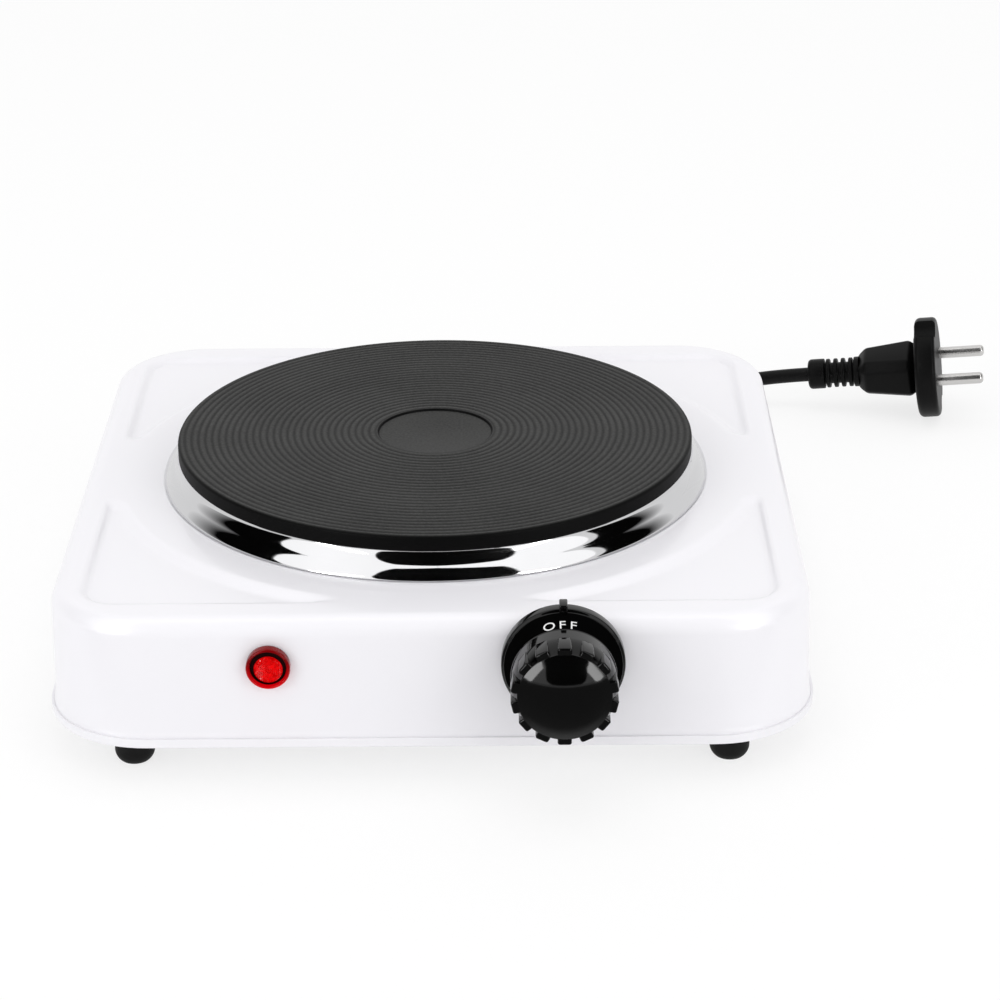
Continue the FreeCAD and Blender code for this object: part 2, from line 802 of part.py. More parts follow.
def screw(name, head_top, tip, **where):
    """A pan-head screw pointing up, its head below head_top."""
    body = new_body(name)
    revolve(body, [
        ("0", f"{head_top} - screw_head_height"),
        ("screw_head_diameter / 2 - screw_play", f"{head_top} - screw_head_height"),
        ("screw_head_diameter / 2", f"{head_top} - screw_head_height / 2"),
        ("screw_head_diameter / 2", head_top),
        ("screw_diameter / 2", head_top),
        ("screw_diameter / 2", tip),
        ("0", tip),
    ])
    return place(body, **where)


def hex_nut(name, width, height, hole, **where):
    """A plain hexagon nut."""
    body = new_body(name)
    outline = draw_hexagon(sketch_on(body, "XY"), width)
    draw_circle(outline, hole)
    pad(body, outline, height)
    return place(body, **where)


def make_foot_fasteners():
    screws = []
    nuts = []
    tip = "floor_z + nut_height + thread_past_nut"
    for end in ("-", ""):
        for side in ("-", ""):
            where = {"x": f"{side}foot_x", "y": f"centre_y + {end}foot_y"}
            screws.append(screw("foot_screw", "foot_bore_depth", tip, **where))
            nuts.append(hex_nut("foot_nut", "nut_width", "nut_height", "screw_diameter + screw_play",
                                z="floor_z", **where))
    group(screws, "foot_screws")
    group(nuts, "foot_nuts")


def make_base_brackets():
    screws = []
    for side, side_name in (("-", "left"), ("", "right")):
        body = new_body(f"base_bracket_{side_name}")
        angle = draw_path(sketch_on(body, "XZ"), [
            (f"{side}bracket_x", "0"),
            (f"{side}bracket_x", "bracket_rise"),
            (f"{side}(bracket_x - bracket_sheet)", "bracket_rise"),
            (f"{side}(bracket_x - bracket_sheet)", "bracket_sheet"),
            (f"{side}(bracket_x - bracket_foot)", "bracket_sheet"),
            (f"{side}(bracket_x - bracket_foot)", "0"),
        ])
        pad(body, angle, "bracket_width", middle=True)
        hole = draw_circle(sketch_on(body, "XY"), "screw_diameter + screw_play", f"{side}bracket_hole_x")
        pocket(body, hole, "bracket_rise", reverse=True)
        keep(place(body, z="floor_z"), f"base_bracket_{side_name}")
        tip = "floor_z + bracket_sheet + thread_past_nut"
        screws.append(screw("base_screw", "foot_height", tip, x=f"{side}bracket_hole_x"))
    group(screws, "base_screws")


# Cast iron plate with its rings of grooves, standing in the chrome trim ring


def make_hot_plate():
    rings = round(number("groove_count"))
    corners = [
        ("0", "plate_z - disc_depth"),
        ("disc_diameter / 2 - disc_bevel", "plate_z - disc_depth"),
        ("disc_diameter / 2", "plate_z"),
    ]
    for ring in range(rings):
        middle = f"plate_diameter / 2 - groove_edge - groove_pitch * {rings - 1 - ring}"
        corners += [
            (f"{middle} - groove_width / 2", "plate_z"),
            (middle, "plate_z - groove_depth"),
            (f"{middle} + groove_width / 2", "plate_z"),
        ]
    corners += [
        ("plate_diameter / 2 - rim_rounding", "plate_z"),
        ("plate_diameter / 2", "plate_z - rim_rounding", "rim_rounding", "right"),
        ("plate_diameter / 2", "rim_z"),
        ("casting_diameter / 2", "rim_z"),
        ("casting_diameter / 2 - casting_draft", "cast_z"),
        ("channel_outer", "cast_z"),
        ("channel_outer", "cast_z + channel_depth"),
        ("channel_inner", "cast_z + channel_depth"),
        ("channel_inner", "cast_z"),
        ("(stud_diameter + stud_play) / 2", "cast_z"),
        ("(stud_diameter + stud_play) / 2", "cast_z + stud_depth"),
        ("0", "cast_z + stud_depth"),
    ]
    turned("hot_plate", corners)


def make_trim_ring():
    turned("trim_ring", [
        ("ring_diameter / 2", "top_z"),
        ("ring_diameter / 2", "top_z + ring_lip"),
        ("ring_neck / 2", "rim_z", "ring_curve", "right"),
        ("ring_seat / 2", "rim_z"),
        ("ring_seat / 2", "rim_z - ring_sheet"),
        ("ring_neck / 2 - ring_sheet", "rim_z - ring_sheet"),
        ("ring_diameter / 2 - ring_lip - ring_sheet", "top_z", "ring_curve + ring_sheet", "left"),
    ])


# Heater under the plate: a spiral coil bedded in a filling, closed by a cover, with two terminals


def spiral_edges():
    """Half turns of growing radius, from the inner terminal to the outer one."""
    edges = []
    step = number("coil_step")
    height = number("coil_z")
    start_y = -number("coil_start")
    for turn in range(round(number("coil_half_turns"))):
        radius = number("coil_start") + turn * step
        side = 1 if turn % 2 == 0 else -1
        end_y = start_y + side * 2 * radius
        middle = Vec(side * radius, (start_y + end_y) / 2, height)
        edges.append(Part.Arc(Vec(0, start_y, height), middle, Vec(0, end_y, height)).toShape())
        start_y = end_y
    return edges


def pin_cylinders(diameter, bottom, top):
    """A cylinder at each of the heater's two terminals."""
    return [cylinder(diameter, f"({top}) - ({bottom})", y=f"-{reach}", z=bottom)
            for reach in ("coil_start", "coil_end")]


def make_heater():
    coil = doc.addObject("Part::Feature", "heating_coil")
    coil.Shape = pipe(spiral_edges(), number("coil_tube"))
    keep(place(coil), "heating_coil")
    bed = new_body("fill_bed")
    ring = draw_circle(sketch_on(bed, "XY", "cast_z"), "2 * (channel_outer - fill_play)")
    draw_circle(ring, "2 * (channel_inner + fill_play)")
    pad(bed, ring, "channel_depth - fill_play")
    channel = doc.addObject("Part::Feature", "coil_channel")
    channel.Shape = pipe(spiral_edges(), number("coil_tube + 2 * fill_play"))
    pins = pin_cylinders("pin_diameter + fill_play", "cover_z", "coil_z")
    place(cut(bed, [channel] + pins, "insulation_fill"))
    cover = new_body("plate_cover")
    disc = draw_circle(sketch_on(cover, "XY"), "casting_diameter - 2 * (casting_draft + cover_margin)")
    draw_circle(disc, "stud_diameter + 2 * fill_play")
    for reach in ("coil_start", "coil_end"):
        draw_circle(disc, "pin_diameter + fill_play", "0", f"-{reach}")
    pad(cover, disc, "cover_sheet")
    keep(place(cover, z="cover_z"), "plate_cover")


def make_plate_terminals():
    body = new_body("plate_terminal_block")
    outline = draw_box(sketch_on(body, "XY"), "-block_width / 2", "-(coil_end + block_end)",
                       "block_width / 2", "-(coil_start - block_end)")
    block = pad(body, outline, "block_height")
    round_edges(body, block, "block_edge", upright)
    holes = sketch_on(body, "XY")
    for reach in ("coil_start", "coil_end"):
        draw_circle(holes, "pin_diameter + fill_play", "0", f"-{reach}")
    pocket(body, holes, reverse=True)
    keep(place(body, z="cover_z - block_height"), "plate_terminal_block")
    pins = [place(pin, y=f"centre_y - {reach}", z="pin_bottom_z") for pin, reach in
            zip(pin_cylinders("pin_diameter", "pin_bottom_z", "pin_top_z"), ("coil_start", "coil_end"))]
    group(pins, "plate_terminal_pins")


# Plate fixing: a central stud drawn down by a bar that spans the body's opening from below


def make_plate_fixing():
    reaches = ("bar_half_length", "bar_half_length - bar_seat", "bar_half_length - bar_seat - bar_slope")
    heights = ("under_z", "under_z", "bar_z")
    upper = [(f"-({reach})", height) for reach, height in zip(reaches, heights)]
    upper += [(f"({reach})", height) for reach, height in zip(reversed(reaches), reversed(heights))]
    lower = [(reach, f"{height} - bar_sheet") for reach, height in reversed(upper)]
    bar = new_body("clamp_bar")
    pad(bar, draw_path(sketch_on(bar, "XZ"), upper + lower), "bar_width", middle=True)
    pocket(bar, draw_circle(sketch_on(bar, "XY"), "stud_diameter + 2 * fill_play"), reverse=True)
    keep(place(bar), "clamp_bar")
    washer_z = "bar_z - bar_sheet - washer_height"
    nut_z = f"{washer_z} - stud_nut_height"
    washer = new_body("stud_washer")
    ring = draw_circle(sketch_on(washer, "XY"), "washer_diameter")
    draw_circle(ring, "stud_diameter + fill_play")
    pad(washer, ring, "washer_height")
    keep(place(washer, z=washer_z), "stud_washer")
    nut = hex_nut("stud_nut", "stud_nut_width", "stud_nut_height", "stud_diameter + stud_play", z=nut_z)
    keep(nut, "stud_nut")
    bottom = f"{nut_z} - thread_past_nut"
    top = "cast_z + stud_depth - stud_play"
    turned("plate_stud", [
        ("0", bottom),
        ("stud_diameter / 2 - stud_play", bottom),
        ("stud_diameter / 2", f"{bottom} + stud_play"),
        ("stud_diameter / 2", top),
        ("0", top),
    ])


# Knob: a skirt, a cone, a tapered barrel with grip ribs, a domed face and a hollow back with a hub


def draw_bore(sketch, radius, flat):
    """A round bore with one flat side."""
    half = f"sqrt(({radius}) ^ 2 - ({flat}) ^ 2)"
    return draw_path(sketch, [
        (half, flat),
        ("0", f"-({radius})", radius, "right"),
        (f"-{half}", flat, radius, "right"),
    ])


def dome_radius(half_width, height):
    """The radius of a dome of a given half width and height."""
    return f"(({half_width}) ^ 2 + ({height}) ^ 2) / (2 * ({height}))"


FLAT_REACH = "spindle_diameter / 2 - spindle_flat"


def make_knob():
    body = new_body("knob")
    front = "skirt_thickness + barrel_length"
    revolve(body, [
        ("0", "hub_recess"),
        ("hub_diameter / 2", "hub_recess"),
        ("hub_diameter / 2", "hollow_depth"),
        ("hollow_diameter / 2 - hollow_taper", "hollow_depth"),
        ("hollow_diameter / 2", "0"),
        ("skirt_diameter / 2", "0"),
        ("skirt_diameter / 2", "skirt_thickness - skirt_edge"),
        ("skirt_diameter / 2 - skirt_edge", "skirt_thickness"),
        ("barrel_diameter / 2", "skirt_thickness + cone_length"),
        ("barrel_front_diameter / 2", front),
        ("0", "knob_length", dome_radius("barrel_front_diameter / 2", "dome_height"), "left"),
    ])
    root = "barrel_front_diameter / 2 - skirt_edge"
    tip = "rib_tip_diameter / 2"
    rib = draw_path(sketch_on(body, "XZ"), [
        (root, "skirt_thickness + rib_root"),
        (tip, "skirt_thickness + rib_root"),
        (tip, f"{front} - skirt_edge"),
        (f"{tip} - skirt_edge", front),
        (root, front),
    ])
    around(body, pad(body, rib, "rib_width", middle=True), "rib_count")
    index = draw_box(sketch_on(body, "XY"), "-index_width / 2", "skirt_diameter / 2 - index_width",
                     "index_width / 2", "skirt_diameter / 2 + index_proud")
    pad(body, index, "skirt_thickness")
    bore = draw_bore(sketch_on(body, "XY", "hub_recess"), "(spindle_diameter + spindle_play) / 2",
                     f"{FLAT_REACH} + spindle_play / 2")
    pocket(body, bore, "knob_bore_depth - hub_recess", reverse=True)
    slot = draw_box(sketch_on(body, "XY", "hub_recess"), "-clip_width / 2 - clip_play", FLAT_REACH,
                    "clip_width / 2 + clip_play", f"{FLAT_REACH} + clip_sheet + 3 * clip_play")
    pocket(body, slot, "clip_length + clip_play", reverse=True)
    keep(place(body, x="knob_x", y="centre_y - knob_back", z="knob_z", rotation=FACING_FRONT), "knob")
    clip = new_body("knob_clip")
    strip = draw_box(sketch_on(clip, "XY"), "-clip_width / 2", f"{FLAT_REACH} + 2 * clip_play",
                     "clip_width / 2", f"{FLAT_REACH} + 2 * clip_play + clip_sheet")
    pad(clip, strip, "clip_length")
    keep(place(clip, x="knob_x", y="centre_y - knob_back - hub_recess", z="knob_z", rotation=FACING_FRONT),
         "knob_clip")


# Spindle and the bush that carries it through the front wall


def make_spindle():
    body = new_body("spindle")
    length = "(spindle_front - cam_back)"
    revolve(body, [
        ("0", "0"),
        ("cam_diameter / 2", "0"),
        ("cam_diameter / 2", "cam_height"),
        ("spindle_diameter / 2", "cam_height"),
        ("spindle_diameter / 2", f"{length} - skirt_edge"),
        ("spindle_diameter / 2 - skirt_edge", length),
        ("0", length),
    ])
    flat = draw_box(sketch_on(body, "XY", f"{length} - flat_length"), "-spindle_diameter", FLAT_REACH,
                    "spindle_diameter", "spindle_diameter")
    pocket(body, flat, "2 * flat_length", reverse=True)
    keep(place(body, x="knob_x", y="centre_y - cam_back", z="knob_z", rotation=FACING_FRONT), "spindle")
    where = {"x": "knob_x", "z": "knob_z", "rotation": FACING_FRONT}
    end = "wall_at_knob + bush_reach - bush_back"
    turned("spindle_bush", [
        ("(spindle_diameter + spindle_play) / 2", "0"),
        ("bush_flange / 2", "0"),
        ("bush_flange / 2", "bush_flange_height"),
        ("bush_diameter / 2", "bush_flange_height"),
        ("bush_diameter / 2", end),
        ("(spindle_diameter + spindle_play) / 2", end),
    ], y="centre_y - bush_back", **where)
    keep(hex_nut("bush_nut", "bush_nut_width", "bush_nut_height", "bush_diameter + bush_play",
                 y="centre_y - wall_at_knob - bush_nut_gap", **where), "bush_nut")


# Thermostat behind the front wall, drawn about the knob's axis with the front towards minus Y


def at_knob(body, label):
    """Place a thermostat piece drawn about the knob's axis."""
    return keep(place(body, x="knob_x", z="knob_z"), label)


RIVET_Y = "-(stat_back + stat_length / 2)"
RIVET_Z = "stat_height / 4"


def rivet_holes(body):
    """Two holes across a thermostat piece."""
    holes = sketch_on(body, "YZ")
    for side in ("", "-"):
        draw_circle(holes, "rivet_diameter + spindle_play", RIVET_Y, f"{side}{RIVET_Z}")
    pocket(body, holes, "2 * stat_width", middle=True)


def make_thermostat_frame():
    bracket = new_body("thermostat_bracket")
    inner = "stat_width / 2"
    outer = "(stat_width / 2 + stat_sheet)"
    arm_end = "-(stat_back + stat_edge)"
    channel = draw_path(sketch_on(bracket, "XY"), [
        (f"-{outer}", "-stat_front"),
        (outer, "-stat_front"),
        (outer, arm_end),
        (inner, arm_end),
        (inner, "-(stat_front - stat_sheet)"),
        (f"-{inner}", "-(stat_front - stat_sheet)"),
        (f"-{inner}", arm_end),
        (f"-{outer}", arm_end),
    ])
    pad(bracket, channel, "stat_height", middle=True)
    hole = draw_circle(sketch_on(bracket, "XZ"), "bush_diameter + bush_play")
    pocket(bracket, hole, "4 * stat_front", middle=True)
    rivet_holes(bracket)
    at_knob(bracket, "thermostat_bracket")
    body = new_body("thermostat_body")
    outline = draw_box(sketch_on(body, "XY"), "-(stat_width / 2 - rod_play)", "-(stat_back + stat_length)",
                       "stat_width / 2 - rod_play", "-stat_back")
    block = pad(body, outline, "stat_height", middle=True)
    round_edges(body, block, "stat_edge", upright)
    bore = draw_circle(sketch_on(body, "XZ"), "rod_diameter + 2 * rod_play")
    pocket(body, bore, "4 * stat_front", middle=True)
    rivet_holes(body)
    at_knob(body, "thermostat_body")
    rivets = []
    reach = "(stat_width / 2 + stat_sheet)"
    for side in ("", "-"):
        rivet = new_body("rivet")
        revolve(rivet, [
            ("0", f"-{reach} - rivet_head_height"),
            ("rivet_head / 2", f"-{reach} - rivet_head_height"),
            ("rivet_head / 2", f"-{reach}"),
            ("rivet_diameter / 2", f"-{reach}"),
            ("rivet_diameter / 2", reach),
            ("rivet_head / 2", reach),
            ("rivet_head / 2", f"{reach} + rivet_head_height"),
            ("0", f"{reach} + rivet_head_height"),
        ])
        rivets.append(place(rivet, x="knob_x", y=f"centre_y + {RIVET_Y}", z=f"knob_z + {side}{RIVET_Z}",
                            rotation=FreeCAD.Rotation(Vec(0, 1, 0), 90)))
    group(rivets, "thermostat_rivets")
    turned("push_rod", [
        ("0", "0"),
        ("rod_diameter / 2", "0"),
        ("rod_diameter / 2", "rod_front - stat_back - rod_play"),
        ("rod_diameter / 2 - rod_play", "rod_front - stat_back"),
        ("0", "rod_front - stat_back"),
    ], x="knob_x", y="centre_y - stat_back", z="knob_z", rotation=FACING_FRONT)


def make_contacts():
    back = "-stat_back"
    half = "stat_height / 2"
    foot = f"({half} - blade_foot)"
    moving = new_body("contact_blade")
    pad(moving, draw_path(sketch_on(moving, "YZ"), [
        (back, f"-{half} - blade_tab"),
        (back, f"-{foot}"),
        (f"{back} + blade_step", f"-{foot} + blade_run"),
        (f"{back} + blade_step", f"{foot} - blade_sheet"),
        (f"{back} + blade_step + blade_sheet", f"{foot} - blade_sheet"),
        (f"{back} + blade_step + blade_sheet", f"-{foot} + blade_run"),
        (f"{back} + blade_sheet", f"-{foot}"),
        (f"{back} + blade_sheet", f"-{half} - blade_tab"),
    ]), "blade_width", middle=True)
    contact_z = f"{foot} - contact_diameter / 2 - blade_sheet"
    button = sketch_on(moving, "XZ", "stat_back - blade_step - blade_sheet")
    pad(moving, draw_circle(button, "contact_diameter", "0", contact_z), "contact_height", reverse=True)
    at_knob(moving, "contact_blade")
    step = "blade_step + blade_sheet + 2 * contact_height + contact_gap"
    fixed = new_body("fixed_contact")
    pad(fixed, draw_path(sketch_on(fixed, "YZ"), [
        (back, half),
        (back, foot),
        (f"{back} + {step}", foot),
        (f"{back} + {step}", "-blade_sheet"),
        (f"{back} + {step} + blade_sheet", "-blade_sheet"),
        (f"{back} + {step} + blade_sheet", f"{foot} + blade_sheet"),
        (f"{back} + blade_sheet", f"{foot} + blade_sheet"),
        (f"{back} + blade_sheet", half),
    ]), "blade_width", middle=True)
    button = sketch_on(fixed, "XZ", f"stat_back - ({step})")
    pad(fixed, draw_circle(button, "contact_diameter", "0", contact_z), "contact_height")
    tab = draw_box(sketch_on(fixed, "XZ", "stat_back"), "0", f"{foot} + 2 * blade_sheet",
                   "stat_width / 2 + blade_tab", half)
    pad(fixed, tab, "blade_sheet", reverse=True)
    at_knob(fixed, "fixed_contact")
    bimetal = new_body("bimetal_blade")
    strip = draw_box(sketch_on(bimetal, "XY", half), "-bimetal_width / 2", "-(stat_back + stat_length)",
                     "bimetal_width / 2", "-(stat_back - bimetal_reach)")
    blade = pad(bimetal, strip, "bimetal_sheet")
    round_edges(bimetal, blade, "bimetal_width / 4", upright)
    at_knob(bimetal, "bimetal_blade")


# Pilot lamp: a red lens with a stepped window, its neon bulb and the clip that holds it in the wall


def make_lamp():
    window = "(lamp_window / 2 - lamp_dome)"
    sill = "lamp_flange - lamp_window_depth"
    where = {"x": "lamp_x", "z": "lamp_z", "rotation": FACING_FRONT}
    turned("lamp_lens", [
        ("lamp_bore / 2", "-lamp_length"),
        ("lamp_barrel / 2", "-lamp_length"),
        ("lamp_barrel / 2", "0"),
        ("lamp_diameter / 2", "0"),
        ("lamp_diameter / 2", "lamp_flange - lamp_edge"),
        ("lamp_diameter / 2 - lamp_edge", "lamp_flange", "lamp_edge", "left"),
        ("lamp_window / 2", "lamp_flange"),
        (window, sill),
        ("0", f"{sill} + lamp_dome", dome_radius(window, "lamp_dome"), "left"),
        ("0", f"{sill} - lamp_front_wall"),
        ("lamp_bore / 2", f"{sill} - lamp_front_wall"),
    ], y="centre_y - wall_at_lamp - lamp_seat_gap", **where)
    tip = f"({sill} - lamp_front_wall - neon_gap)"
    turned("neon_lamp", [
        ("0", f"{tip} - neon_length"),
        ("neon_diameter / 2", f"{tip} - neon_length"),
        ("neon_diameter / 2", f"{tip} - neon_diameter / 2"),
        ("0", tip, "neon_diameter / 2", "left"),
    ], y="centre_y - wall_at_lamp - lamp_seat_gap", **where)
    turned("lamp_clip", [
        ("lamp_barrel / 2 + spindle_play", "0"),
        ("lamp_clip_diameter / 2", "0"),
        ("lamp_clip_diameter / 2", "lamp_clip_sheet"),
        ("lamp_barrel / 2 + spindle_play", "lamp_clip_sheet"),
    ], y="centre_y - wall_at_lamp + shell_sheet + lamp_seat_gap + lamp_clip_sheet", **where)


# Terminal block on the base, and the wires inside the body


def make_terminal_block():
    body = new_body("terminal_block")
    outline = draw_box(sketch_on(body, "XY"), "-terminal_width / 2", "-terminal_depth / 2",
                       "terminal_width / 2", "terminal_depth / 2")
    block = pad(body, outline, "terminal_height")
    round_edges(body, block, "terminal_edge", upright)
    wells = sketch_on(body, "XY", "terminal_height")
    entries = sketch_on(body, "XZ")
    screws = []
    for side in ("", "-"):
        place_x = f"{side}terminal_pitch / 2"
        draw_circle(wells, "terminal_screw + screw_play", place_x)
        draw_circle(entries, "wire_diameter + 2 * wire_gap", place_x, "wire_height")
        screws.append(cylinder("terminal_screw", "terminal_screw_depth - terminal_screw_sink",
                               x=f"terminal_x + {place_x}", y="centre_y + terminal_y",
                               z="floor_z + terminal_height - terminal_screw_depth"))
    pocket(body, wells, "terminal_screw_depth")
    pocket(body, entries, "2 * terminal_depth", middle=True)
    keep(place(body, x="terminal_x", y="centre_y + terminal_y", z="floor_z"), "terminal_block")
    group(screws, "terminal_screws")


def on_the_way(start, end, ground, thick, ways):
    """Points between two ends: shares of the way along X and Y, and a height in thicknesses above ground."""
    points = []
    for share_x, share_y, lift in ways:
        x = start[0] + share_x * (end[0] - start[0])
        y = start[1] + share_y * (end[1] - start[1])
        points.append((x, y, ground + lift * thick))
    return points


def make_wires():
    thick = number("wire_diameter")
    ground = number("floor_z")
    run = number("wire_run")
    low = number("wire_height / wire_diameter")
    inlet = number("terminal_depth / 2 - wire_entry")
    west = number("terminal_x - terminal_pitch / 2")
    east = number("terminal_x + terminal_pitch / 2")
    inlet_z = number("floor_z + wire_height")
    front_y = number("terminal_y") - inlet
    rear_y = number("terminal_y") + inlet
    blade_y = -number("stat_back - blade_sheet - wire_gap")
    low_tab = (number("knob_x"), blade_y, number("knob_z - stat_height / 2 - blade_tab / 2"))
    high_tab = (number("knob_x + stat_width / 2 + blade_tab / 3"), blade_y,
                number("knob_z + stat_height / 2 - blade_foot / 2 + blade_sheet"))
    inner_pin = (0, -number("coil_start"), number("pin_bottom_z - wire_gap"))
    outer_pin = (0, -number("coil_end"), inner_pin[2])

    def wire(label, start, end, ways):
        return tube(label, [start, *on_the_way(start, end, ground, thick, ways), end], thick)

    def before(tab):
        return (tab[0], tab[1] + run, tab[2])

    live_start = (east, front_y, inlet_z)
    live = on_the_way(live_start, low_tab, ground, thick, [
        (0, 0.099, low),
        (-0.141, 0.319, 1.81),
        (-0.109, 0.572, 1.81),
        (0.234, 0.802, 2.19),
        (0.672, 0.896, 4.31),
    ])
    keep(tube("live_wire", [live_start, *live, before(low_tab), low_tab], thick), "live_wire")
    switched = on_the_way(high_tab, outer_pin, ground, thick, [
        (0.155, 0.611, 11.6),
        (0.425, 0.861, 8.92),
        (0.713, 0.972, 7.38),
        (1, 1, 7),
    ])
    keep(tube("switched_wire", [high_tab, before(high_tab), *switched, outer_pin], thick), "switched_wire")
    keep(wire("neutral_wire", (west, front_y, inlet_z), inner_pin, [
        (0, 0.164, low),
        (0.256, 0.4, 1.81),
        (0.628, 0.655, 2),
        (0.907, 0.927, 3.92),
        (1, 1, 6.62),
    ]), "neutral_wire")
    apart = number("wire_diameter / 2 + wire_gap")
    pin_x = -number("pin_diameter / 2 + wire_gap")
    pin_z = number("pin_bottom_z + wire_diameter / 2 + wire_gap")
    level = (pin_z - ground) / thick
    lamp_x = number("lamp_x")
    lamp_y = -number("wall_at_lamp + lamp_seat_gap + lamp_flange - lamp_window_depth - lamp_front_wall"
                     " - neon_gap - neon_length - wire_gap")
    lamp_z = number("lamp_z")
    lamp_level = (lamp_z - ground) / thick
    group([
        wire("lamp_wire_front", (lamp_x + apart, lamp_y, lamp_z), (pin_x, outer_pin[1], pin_z), [
            (0, 0.287, lamp_level),
            (0.302, 0.706, 11.04),
            (0.71, 0.987, level),
        ]),
        wire("lamp_wire_rear", (lamp_x - apart, lamp_y, lamp_z), (pin_x, inner_pin[1], pin_z), [
            (0, 0.211, 10.46),
            (0.153, 0.57, 9.69),
            (0.575, 0.904, 10.46),
        ]),
    ], "lamp_wires")
    gland_y = number("wall_at_gland - shell_sheet - gland_gap - gland_flange_height - gland_tail - wire_gap")
    cores = []
    for side, inlet_x in ((-1, west), (1, east)):
        start = (number("gland_x") + side * apart, gland_y, number("gland_z"))
        cores.append(wire("supply_core", start, (inlet_x, rear_y, inlet_z), [
            (0.082, 0.184, 7.2),
            (0.795, 0.485, 4.04),
            (1, 0.669, low),
        ]))
    group(cores, "supply_cores")


# Mains lead: the gland in the rear wall, the free stretches, the tied coil and the plug


def make_gland():
    corners = [
        ("0", "-(shell_sheet + gland_gap + gland_flange_height + gland_tail)"),
        ("gland_sleeve_end / 2", "-(shell_sheet + gland_gap + gland_flange_height + gland_tail)"),
        ("gland_sleeve_root / 2", "-(shell_sheet + gland_gap + gland_flange_height)"),
        ("gland_flange / 2", "-(shell_sheet + gland_gap + gland_flange_height)"),
        ("gland_flange / 2", "-(shell_sheet + gland_gap)"),
        ("gland_neck / 2", "-(shell_sheet + gland_gap)"),
        ("gland_neck / 2", "gland_gap"),
        ("gland_flange / 2", "gland_gap"),
        ("gland_flange / 2", "gland_flange_height"),
        ("gland_sleeve_root / 2", "gland_flange_height"),
    ]
    ribs = round(number("gland_rib_count"))
    step = f"gland_sleeve / {2 * ribs + 1}"
    for rib in range(ribs):
        start = f"gland_flange_height + {step} * {2 * rib + 1}"
        end = f"gland_flange_height + {step} * {2 * rib + 2}"
        deep = "gland_rib_depth"
        for height, groove in ((start, "0"), (start, deep), (end, deep), (end, "0")):
            share = f"({height} - gland_flange_height) / gland_sleeve"
            fall = f"(gland_sleeve_root - gland_sleeve_end) / 2 * {share}"
            corners.append((f"gland_sleeve_root / 2 - {fall} - {groove}", height))
    corners += [
        ("gland_sleeve_end / 2", "gland_flange_height + gland_sleeve"),
        ("0", "gland_flange_height + gland_sleeve"),
    ]
    turned("cord_gland", corners, x="gland_x", y="centre_y + wall_at_gland", z="gland_z",
           rotation=FACING_BACK)


def plug_turn():
    """How the plug lies: yawed towards the front, tilted up and rolled about its own axis."""
    yaw = FreeCAD.Rotation(Vec(0, 0, 1), -number("plug_yaw"))
    tilt = FreeCAD.Rotation(Vec(0, 1, 0), 90 - number("plug_tilt"))
    roll = FreeCAD.Rotation(Vec(0, 0, 1), number("plug_roll"))
    return yaw.multiply(tilt).multiply(roll)


def arc_from(start, heading, end):
    """The arc that leaves start along heading and reaches end."""
    chord = end - start
    bend = heading.getAngle(chord)
    corner = start + heading * (chord.Length / (2 * math.cos(bend)))
    weight = 2 * math.cos(bend)
    return Part.Arc(start, (start + corner * weight + end) * (1 / (2 + weight)), end).toShape()


def hank_edges():
    """Two layers of half turns: spiralling in, climbing in the half turn where they reverse, then out."""
    x = number("hank_x")
    y = number("hank_y + hank_radius")
    low = number("lay_low_z")
    high = number("lay_high_z")
    lead = number("cord_diameter")
    pitch = number("hank_pitch")
    half_turns = 2 * round(number("hank_turns")) + 1
    radii = [number("hank_radius") - pitch / 2 * turn for turn in range(half_turns)]
    edges = [Part.LineSegment(Vec(x + lead, y, low), Vec(x, y, low)).toShape()]
    climb = radii[-1] - pitch / 2
    for turn, radius in enumerate(radii + [climb] + radii[::-1]):
        side = 1 if turn % 2 else -1
        height = low if turn < half_turns else high
        end = Vec(x, y + side * 2 * radius, high if turn == half_turns else height)
        if turn == half_turns:
            start = Vec(x, y, low)
            middle = (start + end) * 0.5 + Vec(side * (end - start).Length / 2, 0, 0)
            edges.append(arc_from(start, Vec(side, 0, 0), middle))
            back = arc_from(end, Vec(side, 0, 0), middle)
            halfway = back.valueAt((back.FirstParameter + back.LastParameter) / 2)
            edges.append(Part.Arc(middle, halfway, end).toShape())
        else:
            middle = Vec(x + side * radius, y + side * radius, height)
            edges.append(Part.Arc(Vec(x, y, height), middle, end).toShape())
        y = end.y
    edges.append(Part.LineSegment(Vec(x, y, high), Vec(x + lead, y, high)).toShape())
    return edges


def least_gap(edges, diameter):
    """The least space between turns of a coil, measured on points along it."""
    points = [point for edge in edges for point in edge.discretize(Distance=1.5)]
    far = int(3 * diameter)
    return min((first - second).Length for place, first in enumerate(points)
               for second in points[place + far:]) - diameter


